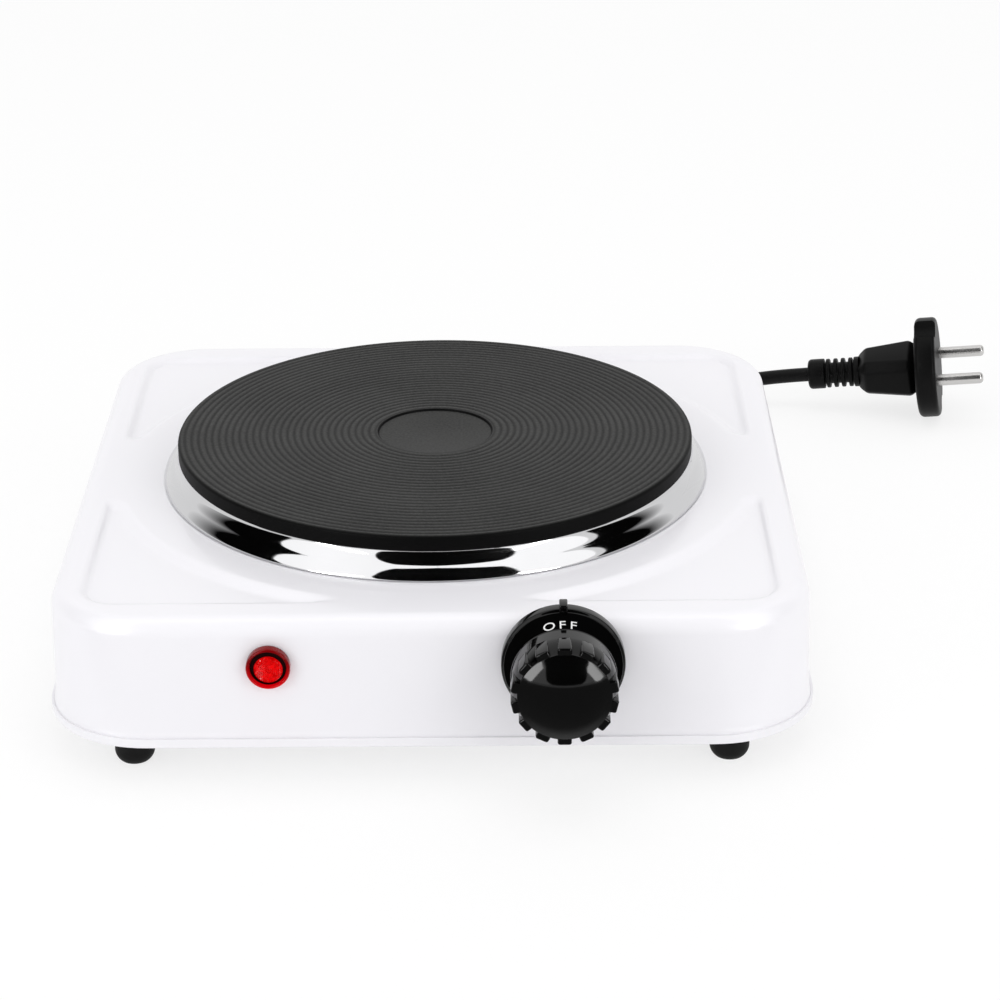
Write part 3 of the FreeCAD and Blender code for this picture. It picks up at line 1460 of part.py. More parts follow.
def make_cord():
    thick = number("cord_diameter")
    gland = Vec(number("gland_x"), number("gland_end"), number("gland_z"))
    coil = hank_edges()
    coil_in = coil[0].valueAt(coil[0].FirstParameter)
    coil_out = coil[-1].valueAt(coil[-1].LastParameter)
    heading = plug_turn().multVec(Vec(0, 0, 1))
    middle = Vec(number("plug_x"), number("plug_y"), number("plug_z"))
    collar = middle - heading * number("plug_collar_end")
    before_collar = collar - heading * (3 * thick)
    level = coil_in.z / thick
    lead = on_the_way(gland, coil_in, 0, thick, [
        (-0.008, 0.402, 4.7),
        (0.008, 0.59, 2.7),
        (0.095, 0.773, 1.17),
        (0.277, 0.914, level),
        (0.541, 0.992, level),
        (0.797, 1, level),
    ])
    after_gland = gland + Vec(0, number("lead_run"), 0)
    keep(tube("cord_lead", [gland, after_gland, *lead, coil_in], thick), "cord_lead")
    tail = on_the_way(coil_out, collar, 0, thick, [
        (0.249, 0.026, 1.33),
        (0.374, 0.118, 0.77),
        (0.493, 0.304, 0.62),
        (0.586, 0.593, 0.58),
        (0.67, 0.895, 0.83),
        (0.773, 1.087, 1.43),
    ])
    after_coil = coil_out + Vec(number("tail_run"), 0, 0)
    keep(tube("cord_tail", [coil_out, after_coil, *tail, before_collar, collar], thick), "cord_tail")
    item = doc.addObject("Part::Feature", "cord_coil")
    item.Shape = pipe(coil, thick)
    keep(place(item), "cord_coil")
    print("cord_coil length", round(sum(edge.Length for edge in coil), 1),
          "least gap", round(least_gap(coil, thick), 2))
    tie = new_body("cord_tie")
    half = "(hank_pitch + cord_diameter) / 2"
    corner = "tie_width / 2"
    band = draw_round_box(sketch_on(tie, "XZ"), f"({half} + tie_side_play + tie_sheet)",
                          f"({half} + tie_play + tie_sheet)", f"{corner} + tie_sheet")
    pad(tie, band, "tie_width", middle=True)
    inner = draw_round_box(sketch_on(tie, "XZ"), f"({half} + tie_side_play)", f"({half} + tie_play)", corner)
    pocket(tie, inner, "2 * tie_width", middle=True)
    keep(place(tie, x="hank_x - hank_radius + hank_pitch / 2", y="centre_y + hank_y - hank_pitch / 2",
               z="(lay_low_z + lay_high_z) / 2"), "cord_tie")


def draw_octagon(sketch, width, depth, bevel):
    """A box outline with bevelled corners about the sketch's centre."""
    x = f"({width}) / 2"
    y = f"({depth}) / 2"
    return draw_path(sketch, [
        (x, f"{y} - {bevel}"),
        (f"{x} - {bevel}", y),
        (f"-({x} - {bevel})", y),
        (f"-{x}", f"{y} - {bevel}"),
        (f"-{x}", f"-({y} - {bevel})"),
        (f"-({x} - {bevel})", f"-{y}"),
        (f"{x} - {bevel}", f"-{y}"),
        (x, f"-({y} - {bevel})"),
    ])


def make_plug():
    body = new_body("plug_moulding")
    back = "-(plug_flange_height / 2 + plug_body_length)"
    end = "-plug_collar_end"
    corners = [
        ("0", end),
        ("plug_collar / 2 - plug_collar_bevel", end),
        ("plug_collar / 2", f"{end} + plug_collar_bevel"),
        ("plug_collar / 2", f"{end} + plug_collar_length"),
        ("plug_neck / 2", f"{end} + plug_collar_length"),
    ]
    for rib in range(round(number("plug_rib_count"))):
        middle = f"{end} + plug_collar_length + plug_rib_pitch * {rib + 0.5}"
        for radius, height in (("plug_neck", "-"), ("plug_rib", "-"), ("plug_rib", "+"), ("plug_neck", "+")):
            corners.append((f"{radius} / 2", f"{middle} {height} plug_rib_width / 2"))
    corners += [("plug_neck / 2", f"{back} + plug_collar_bevel"), ("0", f"{back} + plug_collar_bevel")]
    revolve(body, corners)
    loft(body, [
        draw_octagon(sketch_on(body, "XY", back), "plug_body_back_x", "plug_body_back_y", "plug_body_bevel"),
        draw_octagon(sketch_on(body, "XY", "0"), "plug_body_front_x", "plug_body_front_y", "plug_body_bevel"),
    ])
    disc = sketch_on(body, "XY")
    flange = pad(body, draw_circle(disc, "plug_flange"), "plug_flange_height", middle=True)
    rim = number("plug_flange") / 2
    round_edges(body, flange, "plug_flange_edge",
                lambda edge: abs(edge.BoundBox.XMax - rim) < 0.01 and edge.BoundBox.ZLength < 0.001)
    notches = sketch_on(body, "XY")
    for side in ("", "-"):
        draw_box(notches, f"{side}(plug_flange / 2 - plug_notch_depth)", "-plug_notch_width / 2",
                 f"{side}plug_flange", "plug_notch_width / 2")
    pocket(body, notches, "2 * plug_flange_height", middle=True)
    holes = sketch_on(body, "XY", "plug_flange_height / 2")
    for side in ("", "-"):
        draw_circle(holes, "prong_root + 2 * prong_play", "0", f"{side}prong_spacing / 2")
    pocket(body, holes, "prong_depth")
    where = {"x": "plug_x", "y": "centre_y + plug_y", "z": "plug_z", "rotation": plug_turn()}
    keep(place(body, **where), "plug_moulding")
    prongs = []
    for side in ("", "-"):
        prong = new_body("prong")
        revolve(prong, [
            ("0", "-prong_depth"),
            ("prong_root / 2", "-prong_depth"),
            ("prong_root / 2", "0"),
            ("prong_diameter / 2", "0"),
            ("prong_diameter / 2", "prong_length - prong_tip"),
            ("prong_diameter / 2 - prong_tip", "prong_length", "prong_tip", "left"),
            ("0", "prong_length"),
        ])
        prongs.append(place(prong, y=f"{side}prong_spacing / 2", z="plug_flange_height / 2"))
    place(group(prongs, "plug_pins"), **where)


make_base_pan()
make_top_shell()
make_feet()
make_foot_fasteners()
make_base_brackets()
make_hot_plate()
make_trim_ring()
make_heater()
make_plate_terminals()
make_plate_fixing()
make_knob()
make_spindle()
make_thermostat_frame()
make_contacts()
make_lamp()
make_terminal_block()
make_wires()
make_gland()
make_cord()
make_plug()
doc.recompute()

failed = [item.Name for item in doc.Objects if {"Invalid", "Error"} & set(item.State)]
assert not failed, f"failed objects: {failed}"
for node in nodes:
    assert not node.Shape.isNull() and node.Shape.isValid(), f"bad shape: {node.Label}"

os.makedirs("parts", exist_ok=True)
for node in nodes:
    node.Shape.exportStep(f"parts/{node.Label}.step")
print(len(nodes), "sub-parts written")
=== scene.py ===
# %% [markdown]
# # A single electric hot plate
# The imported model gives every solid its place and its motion. This lesson dresses it: each piece that
# shows is modelled again with finer edges, given a procedural finish and tied to the body that moves it.

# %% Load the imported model
import json
import math

import bpy
from mathutils import Matrix, Vector


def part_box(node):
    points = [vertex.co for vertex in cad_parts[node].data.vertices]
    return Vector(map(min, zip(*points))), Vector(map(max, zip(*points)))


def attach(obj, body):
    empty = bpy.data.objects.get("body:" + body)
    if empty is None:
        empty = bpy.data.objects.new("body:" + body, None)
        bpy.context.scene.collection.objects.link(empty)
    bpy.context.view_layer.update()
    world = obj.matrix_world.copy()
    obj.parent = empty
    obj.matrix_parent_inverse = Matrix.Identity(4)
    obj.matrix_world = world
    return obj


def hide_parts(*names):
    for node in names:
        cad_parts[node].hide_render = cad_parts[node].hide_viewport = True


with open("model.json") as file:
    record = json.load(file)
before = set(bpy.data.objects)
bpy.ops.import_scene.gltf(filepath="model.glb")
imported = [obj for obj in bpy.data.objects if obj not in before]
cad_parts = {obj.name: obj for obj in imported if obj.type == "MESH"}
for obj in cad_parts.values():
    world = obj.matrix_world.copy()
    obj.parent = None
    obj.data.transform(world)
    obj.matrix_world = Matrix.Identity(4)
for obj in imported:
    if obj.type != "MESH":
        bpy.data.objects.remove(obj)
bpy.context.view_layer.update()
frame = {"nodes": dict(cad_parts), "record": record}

# %% [markdown]
# Sizes are easiest to read in millimetres from the plate's axis, while Blender works in metres from the
# model's own origin. One small function turns the first into the second.

# %% Units
MM = 0.001
plate_low, plate_high = (Vector(corner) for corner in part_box("hot_plate"))
AXIS = Vector(((plate_low.x + plate_high.x) / 2, (plate_low.y + plate_high.y) / 2, 0))


def spot(x, y, z):
    """A place given in millimetres from the plate's axis and from the table top."""
    return AXIS + Vector((x, y, z)) * MM


print("plate axis at", [round(value, 5) for value in AXIS])

# %% [markdown]
# The camera stands in front and above, with a long lens, so that the far side is only slightly smaller
# than the near side. It is tilted down 24.6 degrees and turned a little about its own line of sight.

# %% Camera
CAMERA_PLACE = (0.02505, -0.95331, 0.47215)
CAMERA_PITCH = math.radians(65.425)
CAMERA_ROLL = math.radians(-0.42)
bpy.ops.object.camera_add()
camera = bpy.context.object
camera.name = "camera"
camera.matrix_world = (Matrix.Translation(CAMERA_PLACE) @ Matrix.Rotation(CAMERA_PITCH, 4, "X")
                       @ Matrix.Rotation(CAMERA_ROLL, 4, "Z"))
camera.data.lens = 104.47
camera.data.sensor_width = 36
camera.data.shift_x = -0.0054
camera.data.shift_y = 0.0365
bpy.context.scene.camera = camera
print("camera lens", camera.data.lens)

# %% [markdown]
# The mains lead is a metre of round flexible cable. It leaves the back, drops to the table, is wound
# into a small tied coil behind the body, and comes out beside it to the plug. A NURBS curve along
# its route gives the even bends that a stiff cable has, where straight runs would look like bent wire.

# %% Route of the lead
CORD_DIAMETER = 6
LEAD = [
    (70, 149.67, 32.8), (70, 168.37, 32.8), (70.6, 186, 28.2), (69.4, 203, 16.2), (63, 219.5, 7),
    (49.5, 232.2, 4.1), (30, 239.3, 4.1), (11, 240, 4.1), (-4, 240, 4.1),
]
TAIL = [
    (-4, 161.4, 10.7), (16, 161.4, 10.7), (35.9, 162.3, 8), (56, 165.7, 4.6), (75.1, 172.4, 3.7),
    (90, 182.8, 3.5), (103.4, 193.7, 5), (120, 200.7, 8.6), (138.81, 200.82, 12.35), (156.36, 197.54, 14.67),
]
COIL_X = -10
COIL_RADII = [36, 32.7, 29.4, 26.1, 29.4, 32.7, 36]
COIL_LOW = 4.1
COIL_HIGH = 10.7
STEPS_IN_HALF_TURN = 8


def coil_points():
    """Half turns to the left and right in turn, climbing to the upper layer in the middle one."""
    points = []
    reach = 1 / math.cos(math.pi / STEPS_IN_HALF_TURN / 2)
    start_y = LEAD[-1][1]
    climb = len(COIL_RADII) // 2
    for turn, radius in enumerate(COIL_RADII):
        side = 1 if turn % 2 else -1
        middle_y = start_y + side * radius
        for step in range(STEPS_IN_HALF_TURN):
            angle = (step + 0.5) * math.pi / STEPS_IN_HALF_TURN
            share = (1 - math.cos(angle)) / 2 if turn == climb else float(turn > climb)
            points.append((COIL_X + side * radius * reach * math.sin(angle),
                           middle_y - side * radius * reach * math.cos(angle),
                           COIL_LOW + share * (COIL_HIGH - COIL_LOW)))
        start_y += side * 2 * radius
    return points


cord_route = LEAD + coil_points() + TAIL
print("route points", len(cord_route))

# %% Curve of the lead
cord_curve = bpy.data.curves.new("mains_lead", "CURVE")
cord_curve.dimensions = "3D"
cord_spline = cord_curve.splines.new("NURBS")
cord_spline.points.add(len(cord_route) - 1)
for knot, place in zip(cord_spline.points, cord_route):
    knot.co = (*spot(*place), 1)
cord_spline.order_u = 3
cord_spline.use_endpoint_u = True
cord_curve.resolution_u = 6
cord_curve.bevel_depth = CORD_DIAMETER / 2 * MM
cord_curve.bevel_resolution = 6
cord_curve.use_fill_caps = True
mains_lead = bpy.data.objects.new("mains_lead", cord_curve)
bpy.context.scene.collection.objects.link(mains_lead)
print("curve of the lead made")

# %% [markdown]
# Most pieces are modelled in the same few ways: a profile turned on a lathe, a flat sheet of faces
# wrapped round a form, a cutter taken away from a piece. These helpers wrap Blender's own operators.

# %% Modelling helpers


def only(piece):
    """Select one piece and make it active."""
    bpy.ops.object.select_all(action="DESELECT")
    piece.select_set(True)
    bpy.context.view_layer.objects.active = piece


def begin(name, add, **options):
    """Add a primitive with nothing else selected."""
    bpy.ops.object.select_all(action="DESELECT")
    add(**options)
    piece = bpy.context.object
    piece.name = name
    piece.data.name = name
    return piece


def settle(piece, matrix):
    """Move a piece made at the origin to its place, and put the place in its mesh."""
    piece.matrix_world = matrix
    only(piece)
    bpy.ops.object.transform_apply(location=True, rotation=True, scale=True)
    return piece


def mend(threshold=1e-6):
    """In edit mode, merge double points and turn all faces outwards."""
    bpy.ops.mesh.select_all(action="SELECT")
    bpy.ops.mesh.remove_doubles(threshold=threshold)
    bpy.ops.mesh.normals_make_consistent(inside=False)


def lathe(name, profile, steps=96):
    """Turn a profile of (radius, height) pairs in millimetres about the upright axis."""
    piece = begin(name, bpy.ops.mesh.primitive_plane_add)
    bpy.ops.object.mode_set(mode="EDIT")
    bpy.ops.mesh.select_all(action="SELECT")
    bpy.ops.mesh.merge(type="CENTER")
    bpy.ops.transform.translate(value=(profile[0][0] * MM, 0, profile[0][1] * MM))
    for (radius, height), (next_radius, next_height) in zip(profile, profile[1:]):
        move = ((next_radius - radius) * MM, 0, (next_height - height) * MM)
        bpy.ops.mesh.extrude_vertices_move(TRANSFORM_OT_translate={"value": move})
    bpy.ops.mesh.select_all(action="SELECT")
    bpy.ops.mesh.spin(steps=steps, angle=math.tau, center=(0, 0, 0), axis=(0, 0, 1))
    mend()
    bpy.ops.object.mode_set(mode="OBJECT")
    return piece


def wrapped(name, columns, rows, place):
    """Bend a flat sheet of faces so that its point (column, row) goes to place(column, row)."""
    piece = begin(name, bpy.ops.mesh.primitive_grid_add, x_subdivisions=columns, y_subdivisions=rows, size=1)
    for point in piece.data.vertices:
        column = round((point.co.x + 0.5) * columns)
        row = round((point.co.y + 0.5) * rows)
        point.co = place(column, row)
    bpy.ops.object.mode_set(mode="EDIT")
    mend()
    bpy.ops.object.mode_set(mode="OBJECT")
    return piece


def modify(piece, kind, **settings):
    """Add a modifier and apply it."""
    only(piece)
    modifier = piece.modifiers.new(kind.lower(), kind)
    for key, value in settings.items():
        setattr(modifier, key, value)
    bpy.ops.object.modifier_apply(modifier=modifier.name)
    return piece


def carve(piece, tool, operation="DIFFERENCE"):
    """Cut a tool out of a piece, or fuse it with the piece, and remove the tool."""
    modify(piece, "BOOLEAN", operation=operation, object=tool, solver="EXACT")
    bpy.data.objects.remove(tool)
    return piece


def rounded_box(name, size, rounding, segments):
    """A box with rounded edges, given in millimetres."""
    box = begin(name, bpy.ops.mesh.primitive_cube_add, size=1)
    bpy.ops.object.mode_set(mode="EDIT")
    bpy.ops.mesh.select_all(action="SELECT")
    bpy.ops.transform.resize(value=tuple(side * MM for side in size))
    bpy.ops.mesh.bevel(offset=rounding * MM, segments=segments, affect="EDGES")
    bpy.ops.object.mode_set(mode="OBJECT")
    return box


def joined(pieces):
    """Make several pieces one object."""
    bpy.ops.object.select_all(action="DESELECT")
    for piece in pieces:
        piece.select_set(True)
    bpy.context.view_layer.objects.active = pieces[0]
    bpy.ops.object.join()
    return pieces[0]


def twin(piece, name):
    """A copy with its own mesh."""
    copy = piece.copy()
    copy.data = piece.data.copy()
    copy.name = name
    copy.data.name = name
    bpy.context.scene.collection.objects.link(copy)
    return copy


# %% Profile helpers


def arc(start, end, radius, bulge, count=8):
    """Points of an arc between two (radius, height) pairs, bulging left of the way (1) or right (-1)."""
    first = Vector(start)
    last = Vector(end)
    chord = last - first
    side = Vector((-chord.y, chord.x)).normalized()
    depth = math.sqrt(max(radius ** 2 - (chord.length / 2) ** 2, 0))
    centre = (first + last) / 2 - side * depth * bulge
    angle_from = math.atan2(first.y - centre.y, first.x - centre.x)
    turn = -bulge * 2 * math.asin(min(1, chord.length / 2 / radius))
    angles = [angle_from + turn * step / count for step in range(count + 1)]
    return [(centre.x + radius * math.cos(angle), centre.y + radius * math.sin(angle)) for angle in angles]


def eased(corners, count=4):
    """A profile with its corners rounded: each corner is (radius, height) or (radius, height, rounding)."""
    profile = []
    for place, corner in enumerate(corners):
        here = Vector(corner[:2])
        if len(corner) == 2 or place in (0, len(corners) - 1):
            profile.append(tuple(here))
            continue
        back = (Vector(corners[place - 1][:2]) - here).normalized()
        ahead = (Vector(corners[place + 1][:2]) - here).normalized()
        half = back.angle(ahead) / 2
        reach = corner[2] / math.tan(half)
        start = here + back * reach
        end = here + ahead * reach
        bulge = 1 if back.x * ahead.y - back.y * ahead.x > 0 else -1
        profile += arc(start, end, corner[2], bulge, count)
    return profile


FACING_FRONT = Matrix.Rotation(math.radians(90), 4, "X")
FACING_BACK = Matrix.Rotation(math.radians(-90), 4, "X")

# %% [markdown]
# A finish is a Principled shader with a few nodes in front of it. Sums on node outputs read best as
# plain Python, so one small class wraps an output and turns + - * into Math nodes, and one method adds
# any other node: its type, its settings, and the values or links of its sockets.

# %% Shader helpers


class Signal:
    """The output of a shader node, which can be used in sums."""

    def __init__(self, finish, socket):
        self.finish = finish
        self.socket = socket

    def sum(self, operation, first, second):
        return self.finish.node("ShaderNodeMath", {"operation": operation}, {0: first, 1: second})

    def __add__(self, other):
        return self.sum("ADD", self, other)

    def __sub__(self, other):
        return self.sum("SUBTRACT", self, other)

    def __rsub__(self, other):
        return self.sum("SUBTRACT", other, self)

    def __mul__(self, other):
        return self.sum("MULTIPLY", self, other)

    __radd__ = __add__
    __rmul__ = __mul__


class Finish:
    """A material whose Principled shader is fed by procedural nodes."""

    def __init__(self, name, colour, **constants):
        self.material = bpy.data.materials.new(name)
        self.material.use_nodes = True
        self.tree = self.material.node_tree
        self.shader = next(node for node in self.tree.nodes if node.type == "BSDF_PRINCIPLED")
        self.shader.inputs["Base Color"].default_value = (*colour, 1)
        for label, value in constants.items():
            self.shader.inputs[label.replace("_", " ")].default_value = value

    def node(self, kind, settings=None, sockets=None, output=0):
        made = self.tree.nodes.new(kind)
        for key, value in (settings or {}).items():
            setattr(made, key, value)
        for key, value in (sockets or {}).items():
            if isinstance(value, Signal):
                self.tree.links.new(value.socket, made.inputs[key])
            else:
                made.inputs[key].default_value = value
        return Signal(self, made.outputs[output])

    def feed(self, label, signal):
        self.tree.links.new(signal.socket, self.shader.inputs[label])

    def place(self, stretch=(1, 1, 1), shift=(0, 0, 0)):
        """Coordinates on the piece, in metres."""
        here = self.node("ShaderNodeTexCoord", output="Object")
        return self.node("ShaderNodeMapping", sockets={"Vector": here, "Location": shift, "Scale": stretch})

    def noise(self, scale, detail=3.0, stretch=(1, 1, 1)):
        return self.node("ShaderNodeTexNoise",
                         sockets={"Vector": self.place(stretch), "Scale": scale, "Detail": detail})

    def between(self, signal, low, high):
        """Stretch the part of a signal from low to high over 0 to 1."""
        return self.node("ShaderNodeMapRange", {"clamp": True},
                         {"Value": signal, "From Min": low, "From Max": high})

    def blend(self, mask, low, high):
        """A colour between two colours."""
        return self.node("ShaderNodeMix", {"data_type": "RGBA"},
                         {0: mask, 6: (*low, 1), 7: (*high, 1)}, output=2)

    def tint(self, mask, low, high):
        """Base colour between two colours."""
        self.feed("Base Color", self.blend(mask, low, high))

    def bump(self, height, strength, depth):
        """Small relief; depth is in millimetres."""
        self.feed("Normal", self.node("ShaderNodeBump", sockets={"Height": height, "Strength": strength,
                                                                  "Distance": depth * MM}))


def grey(level):
    """A neutral colour."""
    return level, level, level


def dress(piece, finish, body, slot, *nodes, smooth=30):
    """Give a finished piece its material, its body and the nodes that it stands for; its slot is not used."""
    if piece.type == "MESH":
        only(piece)
        bpy.ops.object.shade_smooth_by_angle(angle=math.radians(smooth))
    piece.data.materials.clear()
    piece.data.materials.append(finish.material)
    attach(piece, body)
    if nodes:
        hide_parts(*nodes)
    print(piece.name, "made")
    return piece


# %% [markdown]
# The body is steel sheet under white enamel: nearly even in colour, with a faint ripple in its gloss
# that only shows where light grazes it. A broad noise shifts the tone a little and a fine one makes
# the ripple.

# %% White enamel


def enamel(name, colour, shade):
    finish = Finish(name, colour, Roughness=0.3, Coat_Weight=0.25, Coat_Roughness=0.08)
    broad = finish.noise(9, 1)
    finish.tint(finish.between(broad, 0.3, 0.75), shade, colour)
    finish.feed("Roughness", 0.27 + 0.04 * finish.noise(30, 2))
    finish.bump(finish.noise(160, 1), 0.02, 0.05)
    return finish


white_enamel = enamel("white_enamel", (0.888, 0.878, 0.912), (0.880, 0.871, 0.906))
base_enamel = enamel("base_enamel", (0.885, 0.876, 0.908), (0.872, 0.864, 0.896))
print("finishes so far", len(bpy.data.materials))

# %% [markdown]
# The trim ring is polished chrome. A mirror that is perfectly even looks false, so its roughness varies
# a little in fine circular polishing lines and in broad, faint smudges.

# %% Metals


def metal(name, colour, rough, vary, scratch=(1, 1, 30), relief=0.05):
    finish = Finish(name, colour, Metallic=1.0, Roughness=rough)
    lines = finish.noise(240, 3, scratch)
    smudge = finish.noise(35, 3)
    finish.feed("Roughness", rough + vary * lines * smudge)
    finish.tint(finish.between(smudge, 0.3, 0.7), tuple(0.94 * part for part in colour), colour)
    finish.bump(lines, relief, 0.02)
    return finish


chrome = metal("chrome", (0.62, 0.62, 0.63), 0.035, 0.06, relief=0.015)
bright_steel = metal("bright_steel", (0.62, 0.61, 0.60), 0.2, 0.25, (30, 30, 1), 0.1)
zinc_steel = metal("zinc_steel", (0.56, 0.57, 0.58), 0.34, 0.3, (1, 1, 1), 0.15)
brass = metal("brass", (0.72, 0.52, 0.22), 0.26, 0.3, (1, 1, 1), 0.1)
print("finishes so far", len(bpy.data.materials))

# %% [markdown]
# The plate is cast iron under a heat-proof black coat. It is a dark warm grey with a fine grain, a
# little rubbed on its face, and rough enough to spread reflections into a soft sheen. Its side is painted
# darker as painted shade, and the grooves of its face and the step round the middle disc get painted shade
# too. Those lie on circles, so their masks come from the distance to the plate's axis.

# %% Cast iron
PLATE_RADIUS = 92.5
DISC_RADIUS = 20.9
GROOVE_PITCH = 2.45
LAST_GROOVE = 90
cast_iron = Finish("cast_iron", grey(0.012), Roughness=0.5, Specular_IOR_Level=0.07)
grain = cast_iron.noise(1100, 3)
patches = cast_iron.noise(28, 3)
from_axis = cast_iron.place((1, 1, 0), (-AXIS.x, -AXIS.y, 0))
radius = cast_iron.node("ShaderNodeVectorMath", {"operation": "LENGTH"}, {0: from_axis}, output="Value")
# The side mask paints the plate's upright side darker than its face: painted shade.
side = cast_iron.between(radius, (PLATE_RADIUS - 1.3) * MM, (PLATE_RADIUS - 0.3) * MM)
wear = 0.4 + 0.6 * cast_iron.between(0.6 * grain + 0.4 * patches, 0.3, 0.7)
# The groove mask paints the groove floors darker, so the ridges read as lighter lines, and the step mask
# paints a thin dark ring at the step round the middle disc: both are painted shade.
from_groove = cast_iron.node("ShaderNodeMath", {"operation": "PINGPONG"},
                             {0: LAST_GROOVE * MM - radius, 1: GROOVE_PITCH / 2 * MM})
turned = 0.45 + 0.55 * cast_iron.between(from_groove, 0.2 * MM, 0.9 * MM)
from_step = cast_iron.node("ShaderNodeMath", {"operation": "ABSOLUTE"},
                           {0: radius - (DISC_RADIUS - 0.4) * MM})
disc = 1 - cast_iron.between(radius, DISC_RADIUS * MM, (DISC_RADIUS + 0.4) * MM)
lines = cast_iron.between(from_step, 0.2 * MM, 0.5 * MM) * (turned * (1 - disc) + 0.86 * disc)
# Base colour: random wear, times the painted shade of the side, the grooves and the step.
cast_iron.tint(wear * (1 - side) * lines, grey(0.001), (0.066, 0.066, 0.0645))
cast_iron.feed("Roughness", 0.46 + 0.12 * patches)
cast_iron.bump(grain, 0.12, 0.05)
print("cast iron made")

# %% [markdown]
# The black plastics differ in polish: the knob is glossy, the plug is moulded with a fine grain, the
# cable's sheath is satin and the feet are dull rubber. One function makes them all, and the print, the
# wires and the insulators as well.

# %% Plastics and rubber


def plastic(name, dark, light, rough, vary, grain_scale, relief, specular=0.5):
    finish = Finish(name, light, Roughness=rough, Specular_IOR_Level=specular)
    fine = finish.noise(grain_scale, 3)
    broad = finish.noise(45, 3)
    finish.tint(finish.between(broad, 0.3, 0.7), dark, light)
    finish.feed("Roughness", rough + vary * (0.5 * fine + 0.5 * broad))
    finish.bump(fine, relief, 0.05)
    return finish


knob_gloss = plastic("knob_gloss", grey(0.001), grey(0.002), 0.06, 0.04, 300, 0.01, 0.28)
plug_grain = plastic("plug_grain", grey(0.0015), grey(0.003), 0.34, 0.15, 1800, 0.25, 0.1)
cord_sheath = plastic("cord_sheath", grey(0.0015), grey(0.003), 0.34, 0.15, 900, 0.2, 0.14)
foot_rubber = plastic("foot_rubber", grey(0.002), grey(0.004), 0.5, 0.2, 1200, 0.3, 0.15)
band_black = plastic("band_black", grey(0.001), grey(0.002), 0.6, 0.1, 900, 0.05, 0.0)
print_white = plastic("print_white", grey(0.74), grey(0.82), 0.4, 0.1, 700, 0.1)
tie_plastic = plastic("tie_plastic", grey(0.02), grey(0.03), 0.4, 0.1, 900, 0.1)
block_plastic = plastic("block_plastic", (0.62, 0.58, 0.48), (0.7, 0.66, 0.55), 0.42, 0.15, 700, 0.15)
ceramic = plastic("ceramic", (0.70, 0.66, 0.60), (0.80, 0.77, 0.71), 0.55, 0.2, 500, 0.3)
filling = plastic("filling", (0.42, 0.40, 0.38), (0.56, 0.54, 0.51), 0.85, 0.1, 600, 0.6)
wire_brown = plastic("wire_brown", (0.09, 0.035, 0.015), (0.13, 0.05, 0.022), 0.45, 0.1, 700, 0.15)
wire_blue = plastic("wire_blue", (0.015, 0.06, 0.28), (0.022, 0.085, 0.36), 0.45, 0.1, 700, 0.15)
wire_white = plastic("wire_white", (0.6, 0.6, 0.58), (0.7, 0.7, 0.68), 0.5, 0.1, 700, 0.15)
print("finishes so far", len(bpy.data.materials))

# %% [markdown]
# The pilot lamp is clear red plastic. Its bezel is deep red under a glossy skin, and its lower half has a
# painted red glow that stands for light entering from above and leaving there. The faceted window has a
# weak painted red glow with painted glints that differ from facet to facet, and the recess round it is
# lined with near-black painted shade.

# %% Lamp finishes
LAMP_Z = 41.8
lamp_red = Finish("lamp_red", (0.2, 0.001, 0.002), Roughness=0.08, Specular_IOR_Level=0.16,
                  Emission_Strength=0.5)
lamp_red.tint(lamp_red.noise(160, 2), (0.14, 0.0003, 0.001), (0.24, 0.0005, 0.002))
# The lower half of the bezel gets a painted red glow, standing for light that enters from above.
upright = lamp_red.node("ShaderNodeSeparateXYZ", sockets={0: lamp_red.place()}, output=2)
lower = lamp_red.between(upright, (LAMP_Z + 2.5) * MM, (LAMP_Z - 6) * MM)
lamp_red.feed("Emission Color", lamp_red.blend(lower, grey(0.0), (0.85, 0.0, 0.004)))
lamp_red.feed("Roughness", 0.05 + 0.06 * lamp_red.noise(500, 2))
lamp_window = Finish("lamp_window", (0.45, 0.001, 0.001), Roughness=0.1, Specular_IOR_Level=0.35,
                     Emission_Strength=0.42)
# The window's emission is a painted red glow, and the cells of this pattern give it painted glints.
painted_glint_cells = lamp_window.node("ShaderNodeTexVoronoi", sockets={"Vector": lamp_window.place(), "Scale": 1300.0},
                           output=1)
painted_glint = lamp_window.node("ShaderNodeSeparateColor", sockets={0: painted_glint_cells})
lamp_window.feed("Emission Color", lamp_window.blend(painted_glint, (0.25, 0.0, 0.0), (1.0, 0.006, 0.008)))
lamp_window.feed("Roughness", 0.06 + 0.08 * lamp_window.noise(600, 2))
# A near-black red that lines the lamp's recess: painted shade.
lamp_recess_painted_shade = Finish("lamp_recess_painted_shade", (0.012, 0.0, 0.0), Roughness=0.3, Specular_IOR_Level=0.1)
lamp_recess_painted_shade.tint(lamp_recess_painted_shade.noise(400, 2), (0.006, 0.0, 0.0), (0.02, 0.0, 0.0))
lamp_glass = Finish("lamp_glass", (0.85, 0.78, 0.72), Roughness=0.05, Transmission_Weight=0.7, IOR=1.5)
lamp_glass.feed("Roughness", 0.03 + 0.06 * lamp_glass.noise(300, 2))
print("finishes so far", len(bpy.data.materials))

# %% [markdown]
# The curve of the lead is already made and stands for three solids. It only needs its sheath.

# %% Dress the lead
dress(mains_lead, cord_sheath, "body", "cord_black", "cord_lead", "cord_coil", "cord_tail")

# %% [markdown]
# The body is one pressed sheet: drafted walls that flare a little at the foot, a rounded top edge, and
# four recessed corner panels that leave a round platform for the plate. Modelled as a box with cuts, the
# pressed edges would come out sharp. Here a flat sheet of faces is wrapped over the form instead, and
# each point is sunk by a smooth mask, which gives the soft edges of a pressing.

